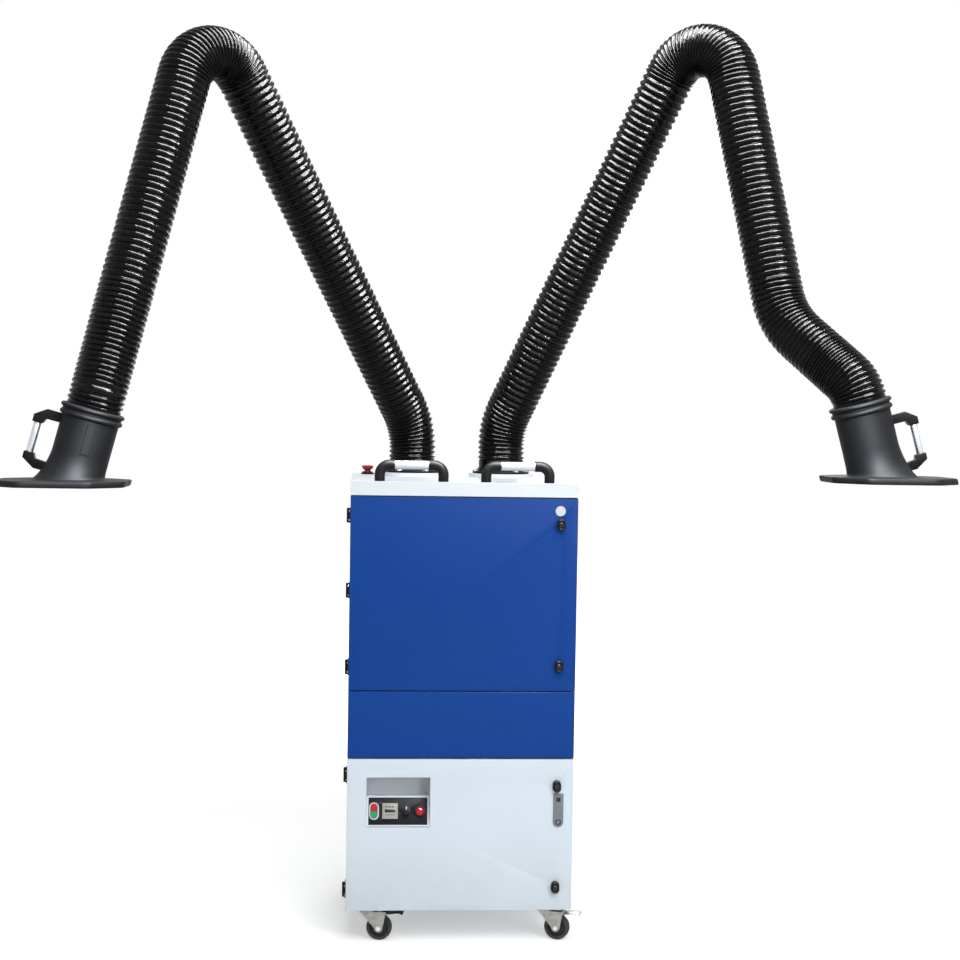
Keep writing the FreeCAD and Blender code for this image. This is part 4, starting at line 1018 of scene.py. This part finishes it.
for side, form in hoods.items():
    hood = side + "_hood"
    centre = form.collar + form.way * BAR_DROP
    reach = Vector((0, THROAT_RADIUS - HOOD_WALL / 2, 0))
    bar_between(hood + "_bar", centre - reach, centre + reach, form.way, hood)
    bar_between(hood + "_stem", centre, pivot(hood + "_tilt"), reach, hood)
    is_grip = crosses(sum(corner.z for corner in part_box(side + "_hood_handle")) / 2)
    dress(hood + "_handle", "black_plastic", 0.0022, 3, lump=all_but(is_grip), name=hood + "_brackets")
    dress(hood + "_handle", "grip_aluminium", 0.0008, lump=is_grip, name=hood + "_grip")

# %% [markdown]
# The left hood also has a raised pad on the side that faces the operator, whose edges slope down to the
# throat.

# %% Hood pad
PAD_TURN = radians(255)
PAD_HALF_TURN = 0.15
PAD_MIDDLE = 0.087
PAD_HALF = 0.041
PAD_LINE = ((1.0, -0.001), (1.0, 0.0014), (0.90, 0.0026), (0.0, 0.0026))
PAD_STEPS = (-1, -1 / 3, 1 / 3, 1)


def pad_rings(form):
    """Rings of the pad from its foot to its middle, each with a share of its width and a rise."""
    rings = []
    for share, rise in PAD_LINE:
        half = PAD_HALF - (1.0 - share) * PAD_HALF_TURN * THROAT_RADIUS if share else 0.0
        ends = [(step, -half) for step in PAD_STEPS] + [(-step, half) for step in PAD_STEPS]
        rings.append([form.point(PAD_TURN + PAD_HALF_TURN * share * step, THROAT_RADIUS + rise,
                                 PAD_MIDDLE + drop) for step, drop in ends])
    return rings


pad = piece("left_hood_pad", skinned(pad_rings(hoods["left"])), "left_hood", "hood_plastic")
hood_gloss.objects.link(pad)

# %% [markdown]
# Screws and bolts repeat all over the cabinet, always as one small head pointing away from a face. One tree
# does all of them: it takes a cloud of points that each hold a facing direction, and puts a head on every
# point.

# %% Fastener tree
BOLT_LINE = mm((0, -1), (10.5, -1), (10.5, 1.2), (7.2, 1.6), (7, 5), (5.8, 6.2), (3, 6.4), (2.6, 4.2),
               (0, 4.2))
SCREW_LINE = mm((0, -1), (2.6, -1), (2.6, 0.4), (2, 1.2), (1, 1.4), (0.8, 0.6), (0, 0.6))
HEX_LINE = mm((0, -1), (6, -1), (6, 3.4), (5.2, 4), (0, 4))


def fastener_tree():
    sockets = {"Points": "Geometry", "Head": "Object", "Finish": "Material"}
    tree, given = new_tree("fasteners", sockets, "Heads")
    way = node(tree, "GeometryNodeInputNamedAttribute", {"data_type": "FLOAT_VECTOR"}, {"Name": "facing"})[0]
    turn = node(tree, "FunctionNodeAlignRotationToVector", {"axis": "Z"}, {"Vector": way})["Rotation"]
    head = node(tree, "GeometryNodeObjectInfo", None, {"Object": given["Head"]})["Geometry"]
    heads = node(tree, "GeometryNodeInstanceOnPoints", None,
                 {"Points": given["Points"], "Instance": head, "Rotation": turn})["Instances"]
    finished(tree, heads, given, "Heads")
    return tree


fasteners = fastener_tree()
HEADS = {"bolt": (BOLT_LINE, 20), "screw": (SCREW_LINE, 14), "hex": (HEX_LINE, 6)}
heads = {kind: add(kind + "_head", turned(outline, Vector(), UP, sides))
         for kind, (outline, sides) in HEADS.items()}


def fasten(name, kind, places, body, replaces=()):
    """Puts one kind of head at every (place, facing) pair and rides them all on a body."""
    cloud = bpy.data.meshes.new(name + "_points")
    cloud.from_pydata([place for place, _ in places], [], [])
    ways = cloud.attributes.new("facing", "FLOAT_VECTOR", "POINT")
    for entry, (_, way) in zip(ways.data, places):
        entry.vector = way
    source = add(name + "_source", cloud)
    mesh = baked(source, fasteners, {"Head": heads[kind], "Finish": FINISHES["bright_steel"]})
    bpy.data.objects.remove(source)
    piece(name, mesh, body, "bright_steel", replaces)


# %% [markdown]
# Six bright bolts hold each arm's black base flange. The hinges have two screws in each leaf, and each
# castor's top plate has four bolts into the cabinet's floor.

# %% Fasteners
BOLT_COUNT = 6
BOLT_CIRCLE = 0.087
FLANGE_TOP = 1.455
FLANGE_WIDTH = 0.15
LEAF_THICKNESS = 0.003
LEAF_DEPTHS = (0.044, 0.0065, 0.0065)
SCREW_LEVEL = 0.014
CASTOR_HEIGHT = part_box("castor_brackets")[1].z
CASTOR_PLATE = 0.004
CASTOR_BOLT_X = 0.037
CASTOR_BOLT_Y = 0.031
CASTOR_JOINTS = ("front_left_swivel", "front_right_swivel", "rear_left_roll", "rear_right_roll")


def is_wide(low, high):
    return (high - low).x > FLANGE_WIDTH


def leaf_levels(solid):
    """The middle height of each separate hinge in a node, from the lowest up."""
    bm = merged(solid)
    levels = sorted((low.z + high.z) / 2 for low, high in map(extent, islands(bm)))
    bm.free()
    return levels


base_bolts = []
for side in SIDES:
    swivel = pivot(side + "_arm_swivel")
    base_bolts += [(Vector((swivel.x + cos(turn) * BOLT_CIRCLE, swivel.y + sin(turn) * BOLT_CIRCLE,
                            FLANGE_TOP)), UP) for turn in turns_of(BOLT_COUNT)]
dress("arm_base_flanges", "black_enamel", 0.001, lump=is_wide, name="arm_base_rings")
fasten("arm_base_bolts", "bolt", base_bolts, "cabinet", ["arm_base_flanges"])
for solid, depth in zip(HINGES, LEAF_DEPTHS):
    spots = [(Vector((-HALF_WIDTH - LEAF_THICKNESS, FRONT + depth, level + rise)), -RIGHT)
             for level in leaf_levels(solid) for rise in (-SCREW_LEVEL, SCREW_LEVEL)]
    fasten(solid + "_screws", "screw", spots, BODY_OF[solid])
castor_bolts = [(Vector((spot.x + x, spot.y + y, CASTOR_HEIGHT - CASTOR_PLATE)), -UP)
                for spot in map(pivot, CASTOR_JOINTS)
                for x in (-CASTOR_BOLT_X, CASTOR_BOLT_X) for y in (-CASTOR_BOLT_Y, CASTOR_BOLT_Y)]
fasten("castor_bolts", "hex", castor_bolts, "cabinet")
for head in heads.values():
    bpy.data.objects.remove(head)

# %% [markdown]
# The wheels have a rubber tyre on a grey plastic centre. Both are turned about the axle, which the wheel's
# joint gives, and a nut closes each end of it.

# %% Wheels
TYRE_HALF = mm((29, -12), (33.5, -13.4), (37, -12.6), (39.2, -10), (40, -5.5))
CENTRE_HALF = mm((4.2, -16), (10.8, -16), (11.8, -15), (12.2, -8), (14.5, -5.8), (25.5, -5.8), (27.5, -8),
                 (29.2, -12.2))
NUT_LINE = mm((0, 0), (7.5, 0), (7.5, 4.2), (6.4, 5), (0, 5))
NUT_REACH = 0.0195


def mirrored(half):
    """A wheel's outline from its half on one side of the middle."""
    return half + [(radius, -rise) for radius, rise in half[::-1]]


for wheel in ("front_left", "front_right", "rear_left", "rear_right"):
    axle = pivot(wheel + "_roll")
    way = Vector(joints[wheel + "_roll"]["axis"]).normalized()
    solid = wheel + "_wheel"
    tyre = turned(mirrored(TYRE_HALF), axle, way, sides=72, loop=True)
    piece(wheel + "_tyre", tyre, solid, "tyre", replaces=[solid])
    centre = turned(mirrored(CENTRE_HALF), axle, way, sides=48, loop=True)
    piece(wheel + "_centre", centre, solid, "hub_plastic", [solid])
    body = BODY_OF[wheel + "_fork"] if wheel.startswith("front") else "cabinet"
    for end, out in (("in", -way), ("out", way)):
        nut = turned(NUT_LINE, axle + out * NUT_REACH, out, sides=6)
        piece(f"{wheel}_axle_nut_{end}", nut, body, "bright_steel")

# %% [markdown]
# Each door is held by black quarter-turn latches. Their knobs are ovals with a dished face round a key
# insert, built as rings of one oval that shrink and step in and out. The cam behind the door is the solid's
# own.

# %% Latches
LATCH_HALF_WIDTH = 0.0127
LATCH_HALF_HEIGHT = 0.0182
OVAL_SIDES = 40
LATCH_LINE = ((1.0, 0.0005), (1.0, 0.0100), (0.985, 0.0128), (0.93, 0.0152), (0.84, 0.0168), (0.76, 0.0168),
              (0.70, 0.0156), (0.66, 0.0153))
ON_AXIS = 1e-9
INSERT_LINE = mm((7.2, 15), (7.2, 17.2), (6.6, 17.8), (2.6, 17.8), (2.2, 15.6), (0, 15.6))


def oval(centre, rise, half_width, half_height):
    """A flat-sided oval: two half circles joined by straight sides."""
    shift = half_height - half_width
    points = []
    for turn in turns_of(OVAL_SIDES):
        lift = copysign(shift, sin(turn)) if abs(sin(turn)) > ON_AXIS else 0.0
        up = sin(turn) * half_width + lift
        points.append(centre + RIGHT * cos(turn) * half_width + rise * up)
    return points


for solid in [name for name in frame["nodes"] if name.endswith("_latch")]:
    dress(solid, "black_plastic", 0.0004)
    middle = pivot(solid + "_turn")
    middle.y = FRONT
    rings = [oval(middle + OUTWARD * out, UP, LATCH_HALF_WIDTH * share, LATCH_HALF_HEIGHT * share)
             for share, out in LATCH_LINE]
    piece(solid + "_knob", skinned(rings, caps=True), BODY_OF[solid], "black_plastic")
    insert = turned(INSERT_LINE, middle, OUTWARD, sides=28)
    piece(solid + "_insert", insert, BODY_OF[solid], "meter")

# %% [markdown]
# The red mushroom button stands at the back of the cover in a black collar. Both are turned, and the collar
# stays low enough for the button's travel.

# %% Emergency stop
ESTOP_LINE = mm((0, -14), (11, -14), (11, 15), (14, 16), (17.2, 18.5), (19.4, 23.5), (20, 26.5), (19.4, 28.8),
                (16.5, 29.9), (0, 30))
COLLAR_RING = mm((11.6, 0), (22.5, 0), (22.8, 1), (22.2, 4.2), (18, 6.2), (17.4, 9), (11.6, 9.2))
low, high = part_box("estop_button")
estop_place = Vector(((low.x + high.x) / 2, (low.y + high.y) / 2, COVER_TOP))
piece("estop_mushroom", turned(ESTOP_LINE, estop_place, UP, sides=56), "estop_button", "red_plastic",
      replaces=["estop_button"])
piece("estop_collar", turned(COLLAR_RING, estop_place, UP, sides=56, loop=True), "cabinet", "black_plastic")

# %% [markdown]
# The controls sit on a black plate that leans back in a recess. A small frame of its own keeps everything
# square to the plate: right along it, up its slope and out of its face. The hour meter has a grey face with a
# dark window and plain marks, and the selector a white pointer.

# %% Controls
PLATE_OUT = -Vector(joints["start_press"]["axis"]).normalized()
PLATE_UP = PLATE_OUT.cross(RIGHT)
PLATE_TURN = Matrix((RIGHT, PLATE_UP, PLATE_OUT)).transposed().to_4x4()
FINE_EDGE = 0.0002
MARK_SPOTS = (-0.0115, -0.0020, 0.0075)
MARK_RISE = 0.0122
LINE_DROP = 0.0120
POINTER_RISE = 0.0070


def front_middle(solid):
    """The middle of a control's front face, square to the plate."""
    points = [vert.co for vert in frame["nodes"][solid].data.vertices]
    middle = Vector()
    for way in (RIGHT, PLATE_UP):
        reaches = [point.dot(way) for point in points]
        middle += way * (min(reaches) + max(reaches)) / 2
    return middle + PLATE_OUT * max(point.dot(PLATE_OUT) for point in points)


def on_plate(name, halves, middle, low, high, finish, body="lower_door", edge=0.0004):
    """A small flat plate square to the control plate, with softened edges."""
    size = Matrix.Diagonal((halves[0] * 2, halves[1] * 2, high - low, 1.0))
    spot = Matrix.Translation(middle + PLATE_OUT * (low + high) / 2)
    piece(name, soft_box(spot @ PLATE_TURN @ size, edge), body, finish)


dress("control_plate", "plate_paint", 0.0004)
dress("hour_meter", "meter_face", 0.0014, 3)
dress("selector_knob", "black_plastic", 0.0008)
dress("pilot_lamp", "lamp_red", 0.0004)
dress("start_button", "green_plastic", 0.0012, 3)
dress("stop_button", "red_plastic", 0.0012, 3)
meter = front_middle("hour_meter")
on_plate("hour_meter_face", (0.0206, 0.0206), meter, -0.0006, 0.0005, "meter_face")
on_plate("hour_meter_window", (0.0165, 0.0048), meter, 0.0, 0.0009, "meter")
for index, x in enumerate(MARK_SPOTS):
    spot = meter + RIGHT * x + PLATE_UP * MARK_RISE
    on_plate(f"hour_meter_mark_{index + 1}", (0.0036, 0.0016), spot, 0.0, 0.0008, "meter",
             edge=FINE_EDGE)
on_plate("hour_meter_line", (0.0140, 0.0006), meter - PLATE_UP * LINE_DROP, 0.0, 0.0008, "meter",
         edge=FINE_EDGE)
pointer = front_middle("selector_knob") + PLATE_UP * POINTER_RISE
on_plate("selector_pointer", (0.0016, 0.0048), pointer, -0.0012, 0.0006, "white_plastic",
         "selector_knob")

# %% [markdown]
# The start and stop buttons share one oval in a white bezel: each is half of it, with a round end and a
# straight side to the middle. Each half stands on its own plunger, high enough to go down without meeting the
# bezel.

# %% Twin button
CAP_RADIUS = 0.0104
CAP_EDGE = 0.0005
CAP_LINE = ((0.0001, 0.0), (0.0012, 0.0), (0.0017, CAP_EDGE))
HALF_STEPS = 20
BEZEL_LINE = mm((15.2, 0), (15.2, 5.6), (14.5, 7), (11.8, 7.3), (10.9, 6.4), (10.9, 0))
BUTTON_STAND = 0.0095
start, stop = front_middle("start_button"), front_middle("stop_button")
twin_half = (stop - start).length / 2
bezel_foot = (start + stop) / 2 - PLATE_OUT * BUTTON_STAND
bezel = [oval(bezel_foot + PLATE_OUT * out, PLATE_UP, radius, radius + twin_half)
         for radius, out in BEZEL_LINE]
piece("twin_button_bezel", skinned(bezel, loop=True), "lower_door", "white_plastic")


def half_oval(middle, way, out, inset):
    """Half of the twin button's oval at a height: an arc at its end and a straight side by the middle."""
    radius = CAP_RADIUS - inset
    arc = [pi * step / HALF_STEPS for step in range(HALF_STEPS + 1)]
    points = [middle + RIGHT * cos(turn) * radius + way * sin(turn) * radius for turn in arc]
    inner = way * (CAP_EDGE + inset - twin_half)
    points += [middle - RIGHT * radius + inner, middle + RIGHT * radius + inner]
    return [point + PLATE_OUT * out for point in points]


for solid, middle, way, finish in (("start_button", start, -PLATE_UP, "green_plastic"),
                                   ("stop_button", stop, PLATE_UP, "red_plastic")):
    rows = [half_oval(middle, way, out, inset) for out, inset in CAP_LINE]
    piece(solid + "_cap", skinned(rows, caps=True), solid, finish)

# %% [markdown]
# A black bezel holds the lamp's dome, and a pale trim frames the plate where it meets the recess.

# %% Lamp bezel and plate frame
LAMP_STAND = 0.012
LAMP_LINE = mm((14.2, 0), (16.6, 0), (16.6, 4.6), (15.8, 6), (14.2, 6.2))
PLATE_HALF = (0.091, 0.042)
FRAME_HALF = 0.002
FRAME_STAND = 0.0016
lamp_foot = front_middle("pilot_lamp") - PLATE_OUT * LAMP_STAND
lamp_ring = turned(LAMP_LINE, lamp_foot, PLATE_OUT, sides=40, loop=True)
piece("pilot_lamp_bezel", lamp_ring, "lower_door", "black_plastic")
plate_rises = [vert.co.dot(PLATE_UP) for vert in frame["nodes"]["control_plate"].data.vertices]
plate_low, plate_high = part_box("control_plate")
plate_face = lamp_foot - PLATE_UP * (lamp_foot.dot(PLATE_UP))
plate_face += PLATE_UP * (min(plate_rises) + max(plate_rises)) / 2
plate_face.x = (plate_low.x + plate_high.x) / 2
FRAME_SIDES = {"left": (-RIGHT, 0), "right": (RIGHT, 0), "lower": (-PLATE_UP, 1), "upper": (PLATE_UP, 1)}
for name, (way, across) in FRAME_SIDES.items():
    reach = PLATE_HALF[across] + FRAME_HALF
    halves = (PLATE_HALF[0] + 2 * FRAME_HALF, FRAME_HALF) if across else (FRAME_HALF, PLATE_HALF[1])
    on_plate(f"plate_frame_{name}", halves, plate_face + way * reach, -FRAME_HALF, FRAME_STAND, "cover_paint")

# %% [markdown]
# Small trim on the fronts: a pale blank disc by the upper latch, a grey plate with a round end below the
# lower door's latch, and a black sealing strip in the gap under the cover. It sits nearly flush with the
# door, so it is partly a real gasket and partly painted shade that draws the gap's shadow as a dark line.

# %% Door trim
DISC_PLACE = Vector((0.2955, FRONT, 1.350))
DISC_LINE = mm((0, -0.5), (15.8, -0.5), (15.8, 1), (15, 1.6), (14, 1.6), (13.7, 1.2), (0, 1.2))
TAG_MIDDLE = Vector((0.304, FRONT, 0.4215))
TAG_HALF_WIDTH = 0.016
TAG_HALF_HEIGHT = 0.0525
TAG_CORNER = 0.004
TAG_LINE = mm((0, -0.5), (0, 2.2), (0.8, 3))
TAG_RING = mm((5.5, 0), (9.5, 0), (9.5, 4.2), (8.8, 4.8), (6, 4.8), (5.5, 4.4))
WINDOW_LOW = Vector((0.2975, FRONT - 0.0036, 0.4485))
WINDOW_HIGH = Vector((0.3105, FRONT - 0.0026, 0.4615))
WINDOW_EDGE = 0.0003
SEAL_SHADE_SIDE = 0.002
SEAL_SHADE_MARGIN = 0.0004
SEAL_SHADE_DEPTHS = (0.0012, 0.0120)
SEAL_SHADE_EDGE = 0.0005
disc = turned(DISC_LINE, DISC_PLACE, OUTWARD, sides=40)
piece("blank_disc", disc, "upper_door", "white_plastic")


def tag_outline(inset):
    """An upright plate with two small corners above and a half circle below."""
    half = TAG_HALF_WIDTH - inset
    top = TAG_HALF_HEIGHT - inset
    corner = TAG_CORNER - inset
    points = []
    for turn_from, turn_to, middle, radius, steps in (
            (0, 90, (half - corner, top - corner), corner, 6),
            (90, 180, (corner - half, top - corner), corner, 6),
            (180, 360, (0.0, half - top), half, 24)):
        for step in range(steps + 1):
            turn = radians(turn_from + (turn_to - turn_from) * step / steps)
            points.append((middle[0] + cos(turn) * radius, middle[1] + sin(turn) * radius))
    return points


def box_between(low, high, edge):
    """A box with softened edges between two corners."""
    return soft_box(Matrix.Translation((low + high) / 2) @ Matrix.Diagonal((*(high - low), 1.0)), edge)


tag_rows = [[TAG_MIDDLE + RIGHT * x + UP * z + OUTWARD * out for x, z in tag_outline(inset)]
            for inset, out in TAG_LINE]
piece("tag_plate", skinned(tag_rows, caps=True), "lower_door", "grey_plastic")
tag_foot = TAG_MIDDLE - UP * (TAG_HALF_HEIGHT - TAG_HALF_WIDTH)
piece("tag_ring", turned(TAG_RING, tag_foot, OUTWARD, sides=32, loop=True), "lower_door", "meter")
piece("tag_window", box_between(WINDOW_LOW, WINDOW_HIGH, WINDOW_EDGE), "lower_door", "meter")
door_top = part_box("upper_door")[1].z
# Black and nearly flush, this strip is partly a gasket and partly painted shade: the gap's dark shadow line.
seal_shade_low = Vector((SEAL_SHADE_SIDE - HALF_WIDTH, FRONT + SEAL_SHADE_DEPTHS[0], door_top + SEAL_SHADE_MARGIN))
seal_shade_high = Vector((HALF_WIDTH - SEAL_SHADE_SIDE, FRONT + SEAL_SHADE_DEPTHS[1], BODY_TOP - SEAL_SHADE_MARGIN))
piece("cover_seal", box_between(seal_shade_low, seal_shade_high, SEAL_SHADE_EDGE), "cabinet", "seal")
